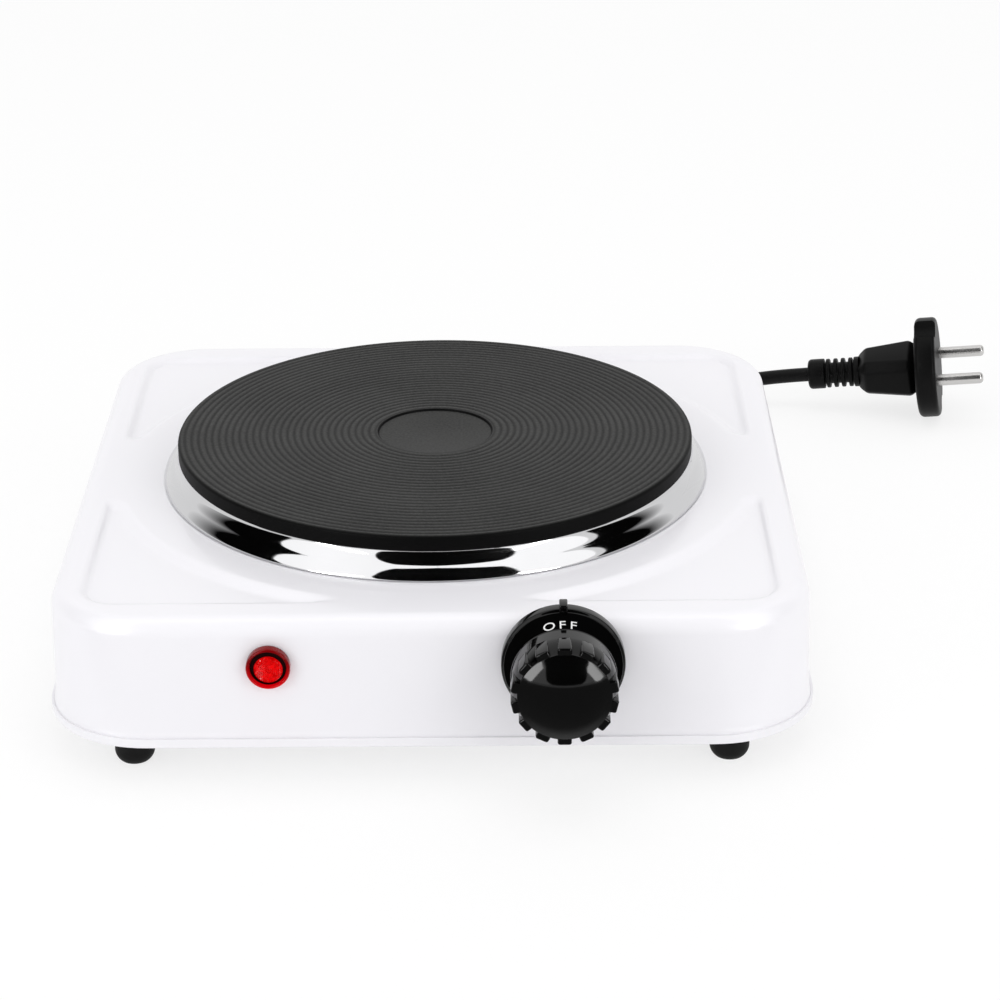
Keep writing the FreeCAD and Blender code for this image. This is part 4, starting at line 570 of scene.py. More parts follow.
# %% Outline of the body
SHELL_HALF = 126.5
SHELL_CORNER = 33
SHELL_EDGE = 6
SHEET = 0.8
TOP_Z = 57.3
FLOOR_Z = 13.1
FLARE_Z = FLOOR_Z + 10
HEM_Z = FLOOR_Z + 2.5
DRAFT = 0.8
FLARE = 0.8
HEM = 0.3
PAN_INSIDE = 128.25
OPENING = 86
SIDE_STEPS = 120
CORNER_STEPS = 32
QUARTER_STEPS = SIDE_STEPS + CORNER_STEPS
AROUND = 4 * QUARTER_STEPS


def outline(column, half, corner):
    """A point of a rounded square, as (x, y) in millimetres."""
    quarter, step = divmod(column % AROUND, QUARTER_STEPS)
    straight = half - corner
    if step < SIDE_STEPS:
        x, y = half, straight * (2 * step / SIDE_STEPS - 1)
    else:
        angle = (step - SIDE_STEPS) / CORNER_STEPS * math.pi / 2
        x, y = straight + corner * math.cos(angle), straight + corner * math.sin(angle)
    for _ in range(quarter):
        x, y = -y, x
    return x, y


def ramp(value, low, high):
    """A smooth step from 0 at low to 1 at high."""
    share = min(1, max(0, (value - low) / (high - low)))
    return share * share * (3 - 2 * share)


def spread(z):
    """How far the wall stands outside the top outline at a height; it flares where it enters the pan."""
    if z >= FLARE_Z:
        return DRAFT * (TOP_Z - z) / (TOP_Z - FLARE_Z)
    flared = DRAFT + FLARE * (FLARE_Z - z) / (FLARE_Z - FLOOR_Z) + HEM * ramp(z, HEM_Z + 2.2, HEM_Z)
    return min(flared, PAN_INSIDE - SHELL_HALF - 0.04)


print("width of the body at its foot", round(2 * (SHELL_HALF + spread(FLOOR_Z)), 2), "mm")

# %% Pressed panels
PANEL_X = 115.3
PANEL_Y = 111.4
PANEL_CORNER = 12
PANEL_DEPTH = 1.8
PLATFORM = 112.5
PLATFORM_SLOPE = 5
TIP_X, TIP_RUN_X = 29, 16
TIP_Y, TIP_RUN_Y = 27, 7


def panel_sink(x, y):
    """How deep the sheet is pressed at a point, in millimetres."""
    x, y = abs(x), abs(y)
    past_x = x - (PANEL_X - PANEL_CORNER)
    past_y = y - (PANEL_Y - PANEL_CORNER)
    if past_x > 0 and past_y > 0:
        inside = PANEL_CORNER - math.hypot(past_x, past_y)
    else:
        inside = PANEL_CORNER - max(past_x, past_y)
    mask = ramp(inside, -1.0, 1.6) * ramp(math.hypot(x, y), PLATFORM - 0.5, PLATFORM + PLATFORM_SLOPE)
    return PANEL_DEPTH * mask * ramp(x, TIP_X, TIP_X + TIP_RUN_X) * ramp(y, TIP_Y, TIP_Y + TIP_RUN_Y)


print("depth of a panel", round(panel_sink(100, 100), 2), "mm")

# %% Rows of the body's sheet


def wall_rows(skin, heights, edge_steps):
    """Rows (half size, corner, height) up a wall and over its rounded top edge."""
    rows = [(SHELL_HALF + spread(z) - skin, SHELL_CORNER + spread(z) - skin, z) for z in heights]
    radius = SHELL_EDGE - skin
    start = spread(TOP_Z - SHELL_EDGE)
    for step in range(edge_steps + 1):
        angle = step / edge_steps * math.pi / 2
        inset = SHELL_EDGE - radius * math.cos(angle) - start * (1 - step / edge_steps)
        rows.append((SHELL_HALF - inset, SHELL_CORNER - inset, TOP_Z - SHELL_EDGE + radius * math.sin(angle)))
    return rows


def top_rows(count):
    """Shares of the way from the top edge to the plate's opening."""
    return [(step + 1) / count for step in range(count)]


OUTER_HEIGHTS = (0, 1.6, 2.3, 2.6, 3.0, 3.5, 4.1, 4.8, 6.2, 8.2, 9.4, 10.6, 12.2,
                 15.2, 19.2, 23.2, 27.2, 31.2, 35.2)
INNER_HEIGHTS = (0, 1.6, 2.6, 3.5, 4.8, 10, 23.2, 35.2)
outer_rows = wall_rows(0, [FLOOR_Z + height for height in OUTER_HEIGHTS], 10)
inner_rows = wall_rows(SHEET, [FLOOR_Z + height for height in INNER_HEIGHTS], 4)
outer_top = top_rows(56)
inner_top = top_rows(16)


def top_point(column, share, skin):
    """A point of the top between its rounded edge and the opening."""
    x, y = outline(column, SHELL_HALF - SHELL_EDGE, SHELL_CORNER - SHELL_EDGE)
    angle = math.atan2(y, x)
    x += share * (OPENING * math.cos(angle) - x)
    y += share * (OPENING * math.sin(angle) - y)
    return spot(x, y, TOP_Z - skin - panel_sink(x, y))


def shell_point(column, row):
    """Up the outside, across the top, back underneath and down the inside."""
    if row < len(outer_rows):
        half, corner, z = outer_rows[row]
        return spot(*outline(column, half, corner), z)
    row -= len(outer_rows)
    if row < len(outer_top):
        return top_point(column, outer_top[row], 0)
    row -= len(outer_top)
    if row < len(inner_top):
        return top_point(column, inner_top[-1 - row], SHEET)
    row -= len(inner_top)
    if row < len(inner_rows):
        half, corner, z = inner_rows[-1 - row]
        return spot(*outline(column, half, corner), z)
    half, corner, z = outer_rows[0]
    return spot(*outline(column, half, corner), z)


shell_row_count = len(outer_rows) + len(outer_top) + len(inner_top) + len(inner_rows)
body_shell = wrapped("body_shell", AROUND, shell_row_count, shell_point)
print("body sheet faces", len(body_shell.data.polygons))

# %% [markdown]
# The lamp, the knob's bush and the cable gland pass through the walls, so three round cutters open them.

# %% Holes in the walls
KNOB_X, KNOB_Z = 43.5, 43.8
LAMP_X = -52.4
GLAND_X, GLAND_Z = 70, 32.8
LAMP_HOLE = 10.4
KNOB_HOLE = 9.9
GLAND_HOLE = 11.3


def wall_at(z):
    """How far the outside of the front and rear walls is from the plate's axis."""
    return SHELL_HALF + spread(z)


def drill(diameter, x, z, side):
    """A round cutter through the front (-1) or rear (1) wall."""
    tool = begin("drill", bpy.ops.mesh.primitive_cylinder_add, vertices=48, radius=diameter / 2 * MM,
                 depth=12 * MM)
    return settle(tool, Matrix.Translation(spot(x, side * wall_at(z), z)) @ FACING_BACK)


carve(body_shell, joined([drill(LAMP_HOLE, LAMP_X, LAMP_Z, -1), drill(KNOB_HOLE, KNOB_X, KNOB_Z, -1),
                          drill(GLAND_HOLE, GLAND_X, GLAND_Z, 1)]))
dress(body_shell, white_enamel, "body", "white_enamel", "top_shell", smooth=35)

# %% [markdown]
# The chrome ring is spun from thin sheet: a rounded foot on the enamel, a hollow curve up to the plate and
# a flat seat under its rim. A closed profile turned on the lathe gives both skins at once. The foot and
# the hollow meet at the same slope, so that reflections run across the join without a break. The ring's
# outer lip stands a little clear of the enamel, which draws a thin dark line round its foot.

# %% Trim ring
RING_STAND = 9.6
RIM_Z = TOP_Z + RING_STAND
RING_LIP = 0.4
ring_profile = [(97.1, 0), (97.1, RING_LIP), (98.0, RING_LIP)]
ring_profile += arc((98.05, 0.5), (97.43, 1.85), 3.0, -1, 10)
ring_profile += arc((97.43, 1.85), (94.6, 4.3), 10.0, -1, 14)[1:]
ring_profile += arc((94.6, 4.3), (91.5, 9.3), 6.3, 1, 24)[1:]
ring_profile += arc((91.5, 9.3), (91.2, RING_STAND), 0.35, -1, 3)[1:]
ring_profile += [(84, RING_STAND), (84, RING_STAND - 0.6), (90.9, RING_STAND - 0.6)]
ring_profile += arc((90.9, 9.0), (96.6, 0.4), 11.0, -1, 16)
ring_profile += [(96.8, 0), (97.1, 0)]
trim_ring = lathe("chrome_ring", ring_profile, 240)
settle(trim_ring, Matrix.Translation(spot(0, 0, TOP_Z)))
dress(trim_ring, chrome, "body", "chrome_ring", "trim_ring", smooth=40)

# %% [markdown]
# The plate's face has fine rings turned into it round a plain middle disc. Each groove is a shallow
# rounded V, so the ridges between them catch the light as thin bright lines. A short lip hangs over the
# edge of the ring.

# %% Hot plate
PLATE_Z = RIM_Z + 4.8
CAST_Z = RIM_Z - 11.6
GROOVES = 28
DISC_DEPTH = 0.8
EDGE_RADIUS = 1.2
PLATE_LIP = 0.9
GROOVE_SHAPE = ((-1.0, 0), (-0.7, 0.05), (-0.35, 0.19), (0, 0.26), (0.35, 0.19), (0.7, 0.05), (1.0, 0))
plate_profile = [(0, PLATE_Z - DISC_DEPTH), (DISC_RADIUS - 0.9, PLATE_Z - DISC_DEPTH),
                 (DISC_RADIUS - 0.6, PLATE_Z - 0.7), (DISC_RADIUS - 0.35, PLATE_Z - 0.15),
                 (DISC_RADIUS, PLATE_Z)]
for groove in range(GROOVES):
    middle = LAST_GROOVE - GROOVE_PITCH * (GROOVES - 1 - groove)
    plate_profile += [(middle + across, PLATE_Z - sunk) for across, sunk in GROOVE_SHAPE]
plate_profile += arc((PLATE_RADIUS - EDGE_RADIUS, PLATE_Z), (PLATE_RADIUS, PLATE_Z - EDGE_RADIUS),
                     EDGE_RADIUS, 1, 5)
plate_profile += [(PLATE_RADIUS, RIM_Z - PLATE_LIP + 0.4), (PLATE_RADIUS - 0.4, RIM_Z - PLATE_LIP),
                  (91.75, RIM_Z - PLATE_LIP), (91.7, RIM_Z), (82, RIM_Z), (81, CAST_Z), (77, CAST_Z),
                  (77, CAST_Z + 8), (22, CAST_Z + 8), (22, CAST_Z), (3.05, CAST_Z), (3.05, CAST_Z + 9),
                  (0, CAST_Z + 9)]
hot_plate = lathe("iron_plate", plate_profile, 180)
settle(hot_plate, Matrix.Translation(spot(0, 0, 0)))
dress(hot_plate, cast_iron, "body", "plate_iron", "hot_plate", smooth=35)

# %% [markdown]
# The knob turns on the thermostat's spindle. Its skirt is a thick disc, then a short cone carries the
# word OFF, and a tapered barrel runs forward to a domed face with grip ribs round it. The back is hollow,
# with a hub that fits the spindle.

# %% Knob body
KNOB_BACK = wall_at(KNOB_Z) + 1.6
KNOB_LENGTH = 31.2
SKIRT_RADIUS = 20.2
CONE_START, CONE_END = 4.4, 12.8
CONE_FOOT, CONE_TOP = 19.3, 17.1
BARREL_START, BARREL_RADIUS = 18.5, 17.25
FACE_START = 26.4
FACE_RADIUS = 15
FACE_RISE = KNOB_LENGTH - FACE_START
HUB_RADIUS, HUB_BACK = 6.5, 5.5
BORE_RADIUS, BORE_END = 3.05, 22
KNOB_MOUTH, KNOB_HOLLOW = 16, 15
KNOB_PLACE = Matrix.Translation(spot(KNOB_X, -KNOB_BACK, KNOB_Z)) @ FACING_FRONT
knob_profile = [(0, BORE_END), (BORE_RADIUS, BORE_END), (BORE_RADIUS, HUB_BACK), (HUB_RADIUS, HUB_BACK),
                (HUB_RADIUS, KNOB_HOLLOW), (KNOB_MOUTH - 3, KNOB_HOLLOW), (KNOB_MOUTH, 0)]
knob_profile += eased([(KNOB_MOUTH, 0), (SKIRT_RADIUS, 0, 0.3), (SKIRT_RADIUS, CONE_START - 0.6, 0.7),
                       (CONE_FOOT, CONE_START, 0.5), (CONE_TOP, CONE_END, 1.5),
                       (BARREL_RADIUS, BARREL_START)])[1:-1]
knob_profile += arc((BARREL_RADIUS, BARREL_START), (FACE_RADIUS + 0.5, FACE_START - 0.9), 15.5, -1, 10)
knob_profile += eased([(FACE_RADIUS + 0.5, FACE_START - 0.9), (FACE_RADIUS + 0.2, FACE_START, 0.8),
                       (FACE_RADIUS - 3, FACE_START + 1.7)])[1:-1]
face_curve = (FACE_RADIUS ** 2 + FACE_RISE ** 2) / (2 * FACE_RISE)
face_edge = knob_profile[-1]
knob_profile += [point for point in arc((FACE_RADIUS, FACE_START), (0, KNOB_LENGTH), face_curve, -1, 14)
                 if point[0] < face_edge[0] - 0.4]
knob = lathe("knob_body", knob_profile, 112)

# %% Knob ribs
RIBS = 14
RIB_SIZE = (4.6, 5.2, 8.6)
RIB_OUT, RIB_AT = 14.7, 22.2
INDEX_SIZE = (2.7, 4.2, 5.4)
INDEX_OUT, INDEX_AT = 20, 2.8
rib = rounded_box("rib", RIB_SIZE, 0.8, 4)
ribs = []
for turn in range(RIBS):
    copy = twin(rib, "rib_copy")
    around = Matrix.Rotation(math.tau * turn / RIBS, 4, "Z")
    settle(copy, around @ Matrix.Translation((0, RIB_OUT * MM, RIB_AT * MM)))
    ribs.append(copy)
bpy.data.objects.remove(rib)
index_mark = rounded_box("index", INDEX_SIZE, 0.45, 3)
settle(index_mark, Matrix.Translation((0, INDEX_OUT * MM, INDEX_AT * MM)))
settle(joined([knob, index_mark] + ribs), KNOB_PLACE)
dress(knob, knob_gloss, "control_knob", "knob_black", "knob", smooth=35)

# %% [markdown]
# The word and the numbers are printed on a dull black band round the cone, so that no reflection crosses
# them. Each letter is a text object made into a mesh, laid on the cone and turned to its place.

# %% Dial band
CONE_SLOPE = math.atan2(CONE_FOOT - CONE_TOP, CONE_END - CONE_START)
BAND_PROUD = 0.03


def band_point(height):
    """A point just proud of the cone."""
    return CONE_FOOT - (height - CONE_START) * math.tan(CONE_SLOPE) + BAND_PROUD, height


dial_band = lathe("dial_band", [band_point(CONE_START + 0.3), band_point(CONE_END - 0.5)], 112)
settle(dial_band, KNOB_PLACE)
dress(dial_band, band_black, "control_knob", "knob_black")

# %% Dial print
PRINT_AT = 10.6
PRINT_SIZE = 5.2
DIAL = [("O", -15.4), ("F", -1.6), ("F", 9.9), ("1", 110), ("2", 145), ("3", 180), ("4", 215), ("5", 250)]


def printed(letter, angle):
    """One character lying on the cone, turned round the dial from the top."""
    bpy.ops.object.select_all(action="DESELECT")
    bpy.ops.object.text_add()
    text = bpy.context.object
    text.data.body = letter
    text.data.size = PRINT_SIZE * MM
    text.data.align_x = "CENTER"
    text.data.align_y = "CENTER"
    text.data.extrude = 0.04 * MM
    bpy.ops.object.convert(target="MESH")
    middle = band_point(PRINT_AT)[0] + 0.01
    lay = (Matrix.Rotation(math.radians(-angle), 4, "Z")
           @ Matrix.Translation((0, middle * MM, PRINT_AT * MM))
           @ Matrix.Rotation(CONE_SLOPE - math.pi / 2, 4, "X"))
    return settle(text, KNOB_PLACE @ lay)


dial_print = joined([printed(letter, angle) for letter, angle in DIAL])
dial_print.name = "dial_print"
dress(dial_print, print_white, "control_knob", "knob_black")

# %% [markdown]
# The pilot lamp is a red lens pressed into the front wall: a rounded bezel, a recess lined with near-black
# painted shade and, standing up in it, a window of small pyramids that catch the light. The pyramids come
# from a fine grid. It loses its outer faces, its edge is drawn to a circle, its faces are poked upwards,
# and it is cast on a shallow dome.

# %% Pilot lamp bezel
LAMP_PLACE = Matrix.Translation(spot(LAMP_X, -wall_at(LAMP_Z) - 0.2, LAMP_Z)) @ FACING_FRONT
BEZEL_RADIUS, BEZEL_HEIGHT = 7.25, 3.3
TUBE_RADIUS, TUBE_BORE, TUBE_END = 5, 3.7, -19
RECESS_FLOOR = 1.2
bezel = [(TUBE_BORE, TUBE_END), (TUBE_RADIUS, TUBE_END), (TUBE_RADIUS, 0)]
bezel += eased([(TUBE_RADIUS, 0), (BEZEL_RADIUS, 0, 0.15), (BEZEL_RADIUS, BEZEL_HEIGHT, 0.8),
                (6.35, BEZEL_HEIGHT, 0.35), (5.7, RECESS_FLOOR), (0, RECESS_FLOOR)], 6)[1:]
bezel += [(0, 0.4), (TUBE_BORE, 0.4), (TUBE_BORE, TUBE_END)]
lamp = settle(lathe("pilot_lamp", bezel, 96), LAMP_PLACE)
dress(lamp, lamp_red, "body", "lamp_red", "lamp_lens", smooth=25)
# The recess is lined with a near-black piece, which is painted shade.
recess_profile = [(5.95, 2.1), (5.66, RECESS_FLOOR + 0.04), (0, RECESS_FLOOR + 0.04)]
recess = settle(lathe("lamp_recess_painted_shade", recess_profile, 64), LAMP_PLACE)
dress(recess, lamp_recess_painted_shade, "body", "lamp_red")

# %% Pilot lamp window
WINDOW_RADIUS = 4.75
WINDOW_RIM = 4.4
WINDOW_SHEET = 11
WINDOW_CELLS = 17
WINDOW_TOP = 2.7
WINDOW_DOME = 1.3
WINDOW_DROP = 0.8
FACET_HEIGHT = 0.3
window = begin("lamp_window", bpy.ops.mesh.primitive_grid_add, x_subdivisions=WINDOW_CELLS,
               y_subdivisions=WINDOW_CELLS, size=WINDOW_SHEET * MM)
bpy.ops.object.mode_set(mode="EDIT")
bpy.ops.mesh.select_mode(type="FACE")
bpy.ops.mesh.select_all(action="DESELECT")
bpy.ops.object.mode_set(mode="OBJECT")
inside = [point.co.length < WINDOW_RIM * MM for point in window.data.vertices]
for face in window.data.polygons:
    face.select = not any(inside[corner] for corner in face.vertices)
bpy.ops.object.mode_set(mode="EDIT")
bpy.ops.mesh.delete(type="FACE")
bpy.ops.object.mode_set(mode="OBJECT")
for point in window.data.vertices:
    if point.co.length >= WINDOW_RIM * MM:
        point.co *= WINDOW_RADIUS * MM / point.co.length
bpy.ops.object.mode_set(mode="EDIT")
bpy.ops.mesh.select_all(action="SELECT")
bpy.ops.mesh.poke(offset=FACET_HEIGHT * MM)
bpy.ops.mesh.select_mode(type="VERT")
bpy.ops.object.mode_set(mode="OBJECT")
for point in window.data.vertices:
    out = point.co.xy.length / WINDOW_RADIUS / MM
    point.co.z += (WINDOW_TOP - WINDOW_DOME * out ** 2) * MM
settle(window, LAMP_PLACE @ Matrix.Translation((0, -WINDOW_DROP * MM, 0)))
dress(window, lamp_window, "body", "lamp_red", smooth=10)

# %% [markdown]
# Each foot is a rubber dome, hollow below for its screw. It is turned once and copied to the corners.

# %% Feet
FOOT_X, FOOT_Y = 99.7, 112
FOOT_HEIGHT = 12.3
FOOT_BORE, FOOT_BORE_TOP = 3.8, 7.5
SCREW_HOLE = 2.1
foot_profile = eased([(FOOT_BORE, FOOT_BORE_TOP), (FOOT_BORE, 0.3), (4.1, 0, 0.25), (4.9, 0)])
foot_profile += arc((4.95, 0.02), (6.7, 4.4), 5.0, -1, 8)
foot_profile += eased([(6.7, 4.4), (7.08, FOOT_HEIGHT - 0.4), (6.9, FOOT_HEIGHT),
                       (SCREW_HOLE, FOOT_HEIGHT), (SCREW_HOLE, FOOT_BORE_TOP), (FOOT_BORE, FOOT_BORE_TOP)])
foot = lathe("rubber_foot", foot_profile, 64)
for end, end_y in (("front", -FOOT_Y), ("rear", FOOT_Y)):
    for side, side_x in (("left", -FOOT_X), ("right", FOOT_X)):
        copy = twin(foot, f"rubber_foot_{end}_{side}")
        settle(copy, Matrix.Translation(spot(side_x, end_y, 0)))
        dress(copy, foot_rubber, "body", "foot_rubber", f"foot_{end}_{side}")
bpy.data.objects.remove(foot)

# %% [markdown]
# The gland is a rubber sleeve in the rear wall that keeps the cable from bending sharply. Its ribs let
# it flex, and it narrows towards its end.

# %% Cable gland
GLAND_RIBS = 4
GLAND_FLANGE, GLAND_FLANGE_END = 8, 2.6
SLEEVE_RADIUS, SLEEVE_LENGTH, SLEEVE_TAPER = 5.3, 20, 1.2
gland_profile = eased([(0, -11.6), (4.1, -11.6), (SLEEVE_RADIUS, -3.6), (GLAND_FLANGE, -3.6),
                       (GLAND_FLANGE, -1), (5.5, -1), (5.5, 0.2), (GLAND_FLANGE, 0.2, 0.3),
                       (GLAND_FLANGE, GLAND_FLANGE_END, 0.9), (SLEEVE_RADIUS, GLAND_FLANGE_END, 0.4),
                       (5.16, 4.8)])
for rib in range(GLAND_RIBS):
    along = SLEEVE_LENGTH / (2 * GLAND_RIBS + 1) * (2 * rib + 1)
    start = GLAND_FLANGE_END + along
    radius = SLEEVE_RADIUS - SLEEVE_TAPER * along / SLEEVE_LENGTH
    gland_profile += eased([(radius, start - 0.1), (radius, start, 0.2), (radius - 0.9, start + 0.15, 0.2),
                            (radius - 1.0, start + 2.07, 0.2), (radius - 0.13, start + 2.22, 0.2),
                            (radius - 0.14, start + 2.4)], 3)
gland_profile += [(4.1, 22.2), (3.8, 22.6), (0, 22.6)]
gland = lathe("cable_gland", gland_profile, 64)
settle(gland, Matrix.Translation(spot(GLAND_X, wall_at(GLAND_Z), GLAND_Z)) @ FACING_BACK)
dress(gland, foot_rubber, "body", "cord_black", "cord_gland")

# %% [markdown]
# The plug is one moulding: a round flange with two finger notches behind the pins, a body with bevelled
# corners, a ribbed neck that flexes and a collar where the cable goes in. Lathe-turned parts and a
# tapered, bevelled block are fused into one piece.

# %% Plug flange
PLUG_MIDDLE = spot(206.8, 188.1, 21.3378)
PLUG_TURN, PLUG_TILT, PLUG_ROLL = -10.6, 7.4, 16.7
PLUG_PLACE = (Matrix.Translation(PLUG_MIDDLE) @ Matrix.Rotation(math.radians(PLUG_TURN), 4, "Z")
              @ Matrix.Rotation(math.radians(90 - PLUG_TILT), 4, "Y")
              @ Matrix.Rotation(math.radians(PLUG_ROLL), 4, "Z"))
FLANGE_BACK, FLANGE_FRONT = -5.2, 3.75
FLANGE_RADIUS = 21.2
NOTCH_RADIUS, NOTCH_OUT = 6.2, 23.2
flange_profile = [(0, FLANGE_BACK), (FLANGE_RADIUS, FLANGE_BACK, 2.2), (FLANGE_RADIUS, FLANGE_FRONT, 1.7),
                  (19, FLANGE_FRONT), (0, FLANGE_FRONT)]
flange = lathe("plug_body", eased(flange_profile, 5), 96)
notches = []
for side in (-1, 1):
    notch = begin("notch", bpy.ops.mesh.primitive_cylinder_add, vertices=40, radius=NOTCH_RADIUS * MM,
                  depth=20 * MM)
    settle(notch, Matrix.Translation((side * NOTCH_OUT * MM, 0, 0)))
    notches.append(notch)
carve(flange, joined(notches))
print("plug flange faces", len(flange.data.polygons))

# %% Plug block
BLOCK_FRONT = (20, 21.8, -4.6)
BLOCK_BACK = (16, 17.2, -30.4)
BLOCK_BEVEL = 5
block = begin("block", bpy.ops.mesh.primitive_cube_add, size=1)
for point in block.data.vertices:
    wide, high, along = BLOCK_FRONT if point.co.z > 0 else BLOCK_BACK
    point.co.x *= wide * MM
    point.co.y *= high * MM
    point.co.z = along * MM
bpy.ops.object.mode_set(mode="EDIT")
bpy.ops.mesh.select_all(action="DESELECT")
bpy.ops.object.mode_set(mode="OBJECT")
for edge in block.data.edges:
    ends = [block.data.vertices[index].co.z for index in edge.vertices]
    edge.select = abs(ends[0] - ends[1]) > 10 * MM
bpy.ops.object.mode_set(mode="EDIT")
bpy.ops.mesh.bevel(offset=BLOCK_BEVEL * MM, offset_type="WIDTH", segments=1, affect="EDGES")
mend()
bpy.ops.object.mode_set(mode="OBJECT")
modify(block, "BEVEL", width=0.9 * MM, segments=4, limit_method="ANGLE", angle_limit=math.radians(25))
print("plug block faces", len(block.data.polygons))

# %% Plug neck
COLLAR_END, COLLAR_START = -51.75, -44.75
COLLAR_RADIUS, COLLAR_EDGE = 6.4, 1.6
CORE_RADIUS = 4.5
NECK_RIBS, NECK_PITCH, NECK_RIB = 4, 3.2, 6.2
neck_profile = [(0, COLLAR_END), (COLLAR_RADIUS - COLLAR_EDGE, COLLAR_END)]
neck_profile += arc((COLLAR_RADIUS - COLLAR_EDGE, COLLAR_END), (COLLAR_RADIUS, COLLAR_END + COLLAR_EDGE),
                    COLLAR_EDGE, -1, 5)
neck_profile += eased([(COLLAR_RADIUS, -50.1), (COLLAR_RADIUS, COLLAR_START, 0.4),
                       (CORE_RADIUS, COLLAR_START + 0.1)], 3)[1:]
for rib in range(NECK_RIBS):
    middle = COLLAR_START + NECK_PITCH * (rib + 0.5)
    neck_profile += eased([(CORE_RADIUS, middle - 1.0), (4.6, middle - 0.85), (NECK_RIB, middle - 0.8, 0.4),
                           (NECK_RIB, middle + 0.8, 0.4), (4.6, middle + 0.85),
                           (CORE_RADIUS, middle + 1.0)], 3)
neck_profile += eased([(CORE_RADIUS, -32.2), (COLLAR_RADIUS, -32.1, 0.4), (COLLAR_RADIUS, -30), (0, -30)], 3)
neck = lathe("neck", neck_profile, 64)
print("plug neck faces", len(neck.data.polygons))

# %% Plug moulding
carve(flange, block, "UNION")
carve(flange, neck, "UNION")
plug = settle(flange, PLUG_PLACE)
dress(plug, plug_grain, "body", "plug_black", "plug_moulding", smooth=35)

# %% [markdown]
# The pins are plain steel rods with rounded tips, thinner where they are held in the moulding. One profile
# makes both.

# %% Plug pins
PIN_RADIUS, PIN_LENGTH, PIN_TIP = 2.4, 19, 1.6
PIN_OUT = 9.5
pin_profile = [(0, -6), (2, -6), (2, 0), (PIN_RADIUS, 0), (PIN_RADIUS, PIN_LENGTH - PIN_TIP)]
pin_profile += arc((PIN_RADIUS, PIN_LENGTH - PIN_TIP), (PIN_RADIUS - PIN_TIP, PIN_LENGTH), PIN_TIP, -1, 6)
pin_profile.append((0, PIN_LENGTH))
pins = []
for side in (-1, 1):
    pin = lathe("pin", pin_profile, 48)
    pins.append(settle(pin, PLUG_PLACE @ Matrix.Translation((0, side * PIN_OUT * MM, FLANGE_FRONT * MM))))
plug_pins = joined(pins)
plug_pins.name = "plug_pins_pair"
dress(plug_pins, bright_steel, "body", "steel", "plug_pins", smooth=40)

# %% [markdown]
# The lead has its plug at the far end.

print("lead ends at the plug")

# %% [markdown]
# The pieces inside keep their solids and only need finishes, by the material slot that each one has.

# %% Finishes of the inner pieces
FINISHES = {
    "base_enamel": base_enamel, "steel": zinc_steel, "brass": brass, "ceramic": ceramic, "filling": filling,
    "block_plastic": block_plastic, "tie_plastic": tie_plastic, "wire_brown": wire_brown,
    "wire_blue": wire_blue, "wire_white": wire_white, "lamp_glass": lamp_glass, "white_enamel": white_enamel,
    "chrome_ring": chrome, "plate_iron": cast_iron, "knob_black": knob_gloss, "lamp_red": lamp_red,
    "foot_rubber": foot_rubber, "cord_black": cord_sheath, "plug_black": plug_grain,
}
node_slots = {part["node"]: part["material_slot"] for part in frame["record"]["subparts"]}
for name, item in frame["nodes"].items():
    item.data.materials.clear()
    item.data.materials.append(FINISHES[node_slots[name]].material)
print("finished nodes", len(frame["nodes"]))

# %% [markdown]
# The set is a pale floor under soft light. The floor looks white to the camera and in reflections, and
# is mixed with a plain matt surface so that the shadow stays. The room round it is white to the camera
# and in reflections too, and lights the part a little less strongly.

# %% Floor
floor = begin("floor", bpy.ops.mesh.primitive_plane_add, size=8)
floor_finish = Finish("floor_white", (0.97, 0.97, 0.97), Roughness=0.9)
seen = floor_finish.node("ShaderNodeLightPath", output="Is Camera Ray")
mirrored = floor_finish.node("ShaderNodeLightPath", output="Is Glossy Ray")
through = floor_finish.node("ShaderNodeLightPath", output="Is Transmission Ray")
glow = floor_finish.node("ShaderNodeEmission", sockets={"Color": (1, 1, 1, 1), "Strength": 1.0})
matt = Signal(floor_finish, floor_finish.shader.outputs[0])
shown = 0.75 * (seen + mirrored + through)
mixed = floor_finish.node("ShaderNodeMixShader", sockets={0: shown, 1: matt, 2: glow})
floor_output = next(node for node in floor_finish.tree.nodes if node.type == "OUTPUT_MATERIAL")
floor_finish.tree.links.new(mixed.socket, floor_output.inputs["Surface"])
floor.data.materials.append(floor_finish.material)
print("floor made")

# %% World
ROOM_LIGHT = 0.78
world = bpy.data.worlds.new("studio")
bpy.context.scene.world = world
world.use_nodes = True
sky = world.node_tree.nodes["Background"]
sky.inputs["Color"].default_value = (1, 1, 1, 1)
ray = world.node_tree.nodes.new("ShaderNodeLightPath")
level = sky.inputs["Strength"]
for kind in ("Is Camera Ray", "Is Glossy Ray", "Is Transmission Ray"):
    more = world.node_tree.nodes.new("ShaderNodeMath")
    more.operation = "MULTIPLY_ADD"
    more.inputs[1].default_value = 1 - ROOM_LIGHT
    world.node_tree.links.new(ray.outputs[kind], more.inputs[0])
    world.node_tree.links.new(more.outputs[0], level)
    level = more.inputs[2]
level.default_value = ROOM_LIGHT
bpy.context.scene.view_settings.view_transform = "Standard"
print("world made")

# %% Lamps


def softbox(name, place, aim, width, depth, power):
    """A large soft lamp that points at a place and isn't seen in reflections."""
    bpy.ops.object.select_all(action="DESELECT")
    bpy.ops.object.light_add(type="AREA")
    lamp = bpy.context.object
    lamp.name = name
    lamp.data.shape = "RECTANGLE"
    lamp.data.size = width
    lamp.data.size_y = depth
    lamp.data.energy = power
    turn = (Vector(aim) - Vector(place)).to_track_quat("-Z", "Y")
    lamp.matrix_world = Matrix.Translation(place) @ turn.to_matrix().to_4x4()
    lamp.visible_glossy = False
    print(name, "lamp made")


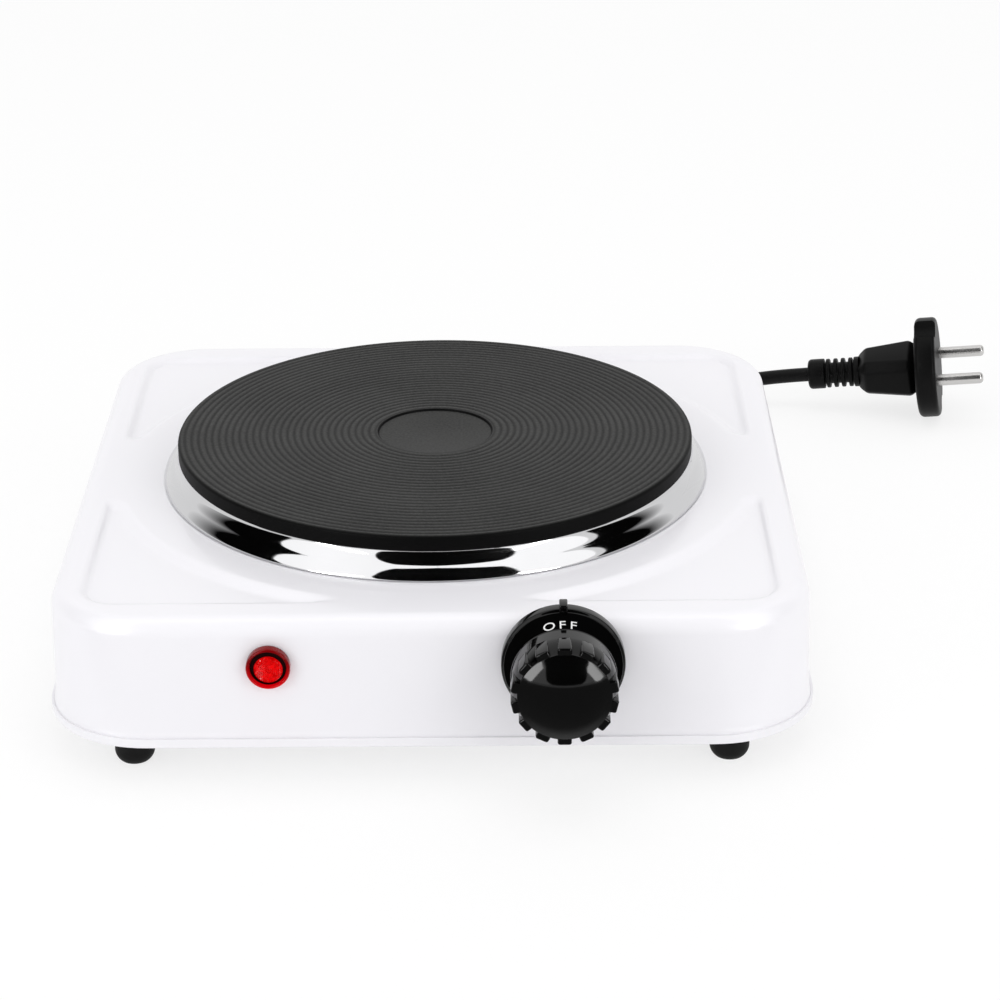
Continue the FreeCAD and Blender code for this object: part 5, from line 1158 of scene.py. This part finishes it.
softbox("overhead", (0, 0.1, 1.5), (0, 0, 0), 1.2, 0.9, 3.7)
softbox("front_left", (-1.1, -1.1, 0.75), (0, 0, 0.03), 0.9, 0.9, 4.1)
softbox("front_right", (1.1, -1.1, 0.75), (0, 0, 0.03), 0.9, 0.9, 4.1)

# %% [markdown]
# Chrome and black gloss show only what is round them, and in an all-white room they look like grey paint.
# Dark cards stand in front and at the sides and one lies on the floor, with bright cards at each front
# corner and a pale one behind. A thin, strong card on each side puts a crisp light on the knob's face.
# Only mirror reflections see the cards, so they leave the set and its shadows alone. Their corners are
# rounded and their edges fade.

# %% Finishes of the cards


def card_finish(name, glow, fade, cover=1.0, trail=0.02):
    """A matt card that may glow. It hides by cover, ends softly by fade all round and by trail aft."""
    finish = Finish(name, grey(0.002), Roughness=1.0, Specular_IOR_Level=0.0,
                    Emission_Color=(1, 1, 1, 1), Emission_Strength=glow)
    here = finish.node("ShaderNodeTexCoord", output="UV")
    far = 0
    for axis in (0, 1):
        share = 2 * finish.node("ShaderNodeSeparateXYZ", sockets={0: here}, output=axis) - 1
        square = share * share
        far = square * square * square + far
    aft = finish.between(1 - finish.node("ShaderNodeSeparateXYZ", sockets={0: here}), 0, trail)
    finish.feed("Alpha", cover * aft * finish.between(1 - far, 0, fade))
    return finish


card_black = card_finish("card_black", 0, 0.06)
card_faded = card_finish("card_faded", 0, 0.2, trail=0.45)
card_floor = card_finish("card_floor", 0, 0.2, 0.8)
card_bright = card_finish("card_bright", 1.55, 0.06)
card_spark = card_finish("card_spark", 12, 0.2)
card_pale = card_finish("card_pale", 1.0, 0.6)
print("finishes so far", len(bpy.data.materials))

# %% Cards for reflections


def card(name, finish, *corners):
    """A card given by its corners in metres: lower left, lower right, upper right, upper left."""
    piece = begin(name, bpy.ops.mesh.primitive_plane_add, size=1)
    for point, corner in zip(piece.data.vertices, (corners[0], corners[1], corners[3], corners[2])):
        point.co = corner
    piece.data.materials.append(finish.material)
    piece.visible_camera = False
    piece.visible_diffuse = False
    piece.visible_transmission = False
    piece.visible_shadow = False
    print(name, "made")


card("card_front", card_black, (-0.66, -1.6, 0.06), (0.98, -1.6, 0.06),
     (0.49, -0.02, 2.6), (-0.31, -0.02, 2.6))
card("card_floor", card_floor, (-1, -1.4, 0.002), (1, -1.4, 0.002), (1, -0.13, 0.002), (-1, -0.13, 0.002))
card("card_left", card_faded, (-1.6, -1.05, 0.05), (-1.6, 0.75, 0.2), (-1.6, 1.9, 1.9), (-1.6, 0.8, 3.6))
card("card_right", card_faded, (1.6, -0.85, 0.05), (1.6, 0.5, 0.2), (1.6, 1.6, 1.9), (1.6, 0.75, 3.2))
card("card_pale", card_pale, (-1.5, 1.65, 0.02), (1.5, 1.65, 0.02), (1.3, 1.65, 1.75), (-1.3, 1.65, 1.75))
for side, name in ((-1, "left"), (1, "right")):
    card("card_bright_" + name, card_bright, (side * 0.5, -2.7, 0.08), (side * 2.3, -1.45, 0.08),
         (side * 1.18, 0.66, 2.7), (side * -0.1, 0.16, 2.7))
    card("card_spark_" + name, card_spark, (side * 1.28, -1.38, 0.04), (side * 1.46, -1.16, 0.04),
         (side * 0.95, -1.4, 0.86), (side * 0.78, -1.52, 0.8))
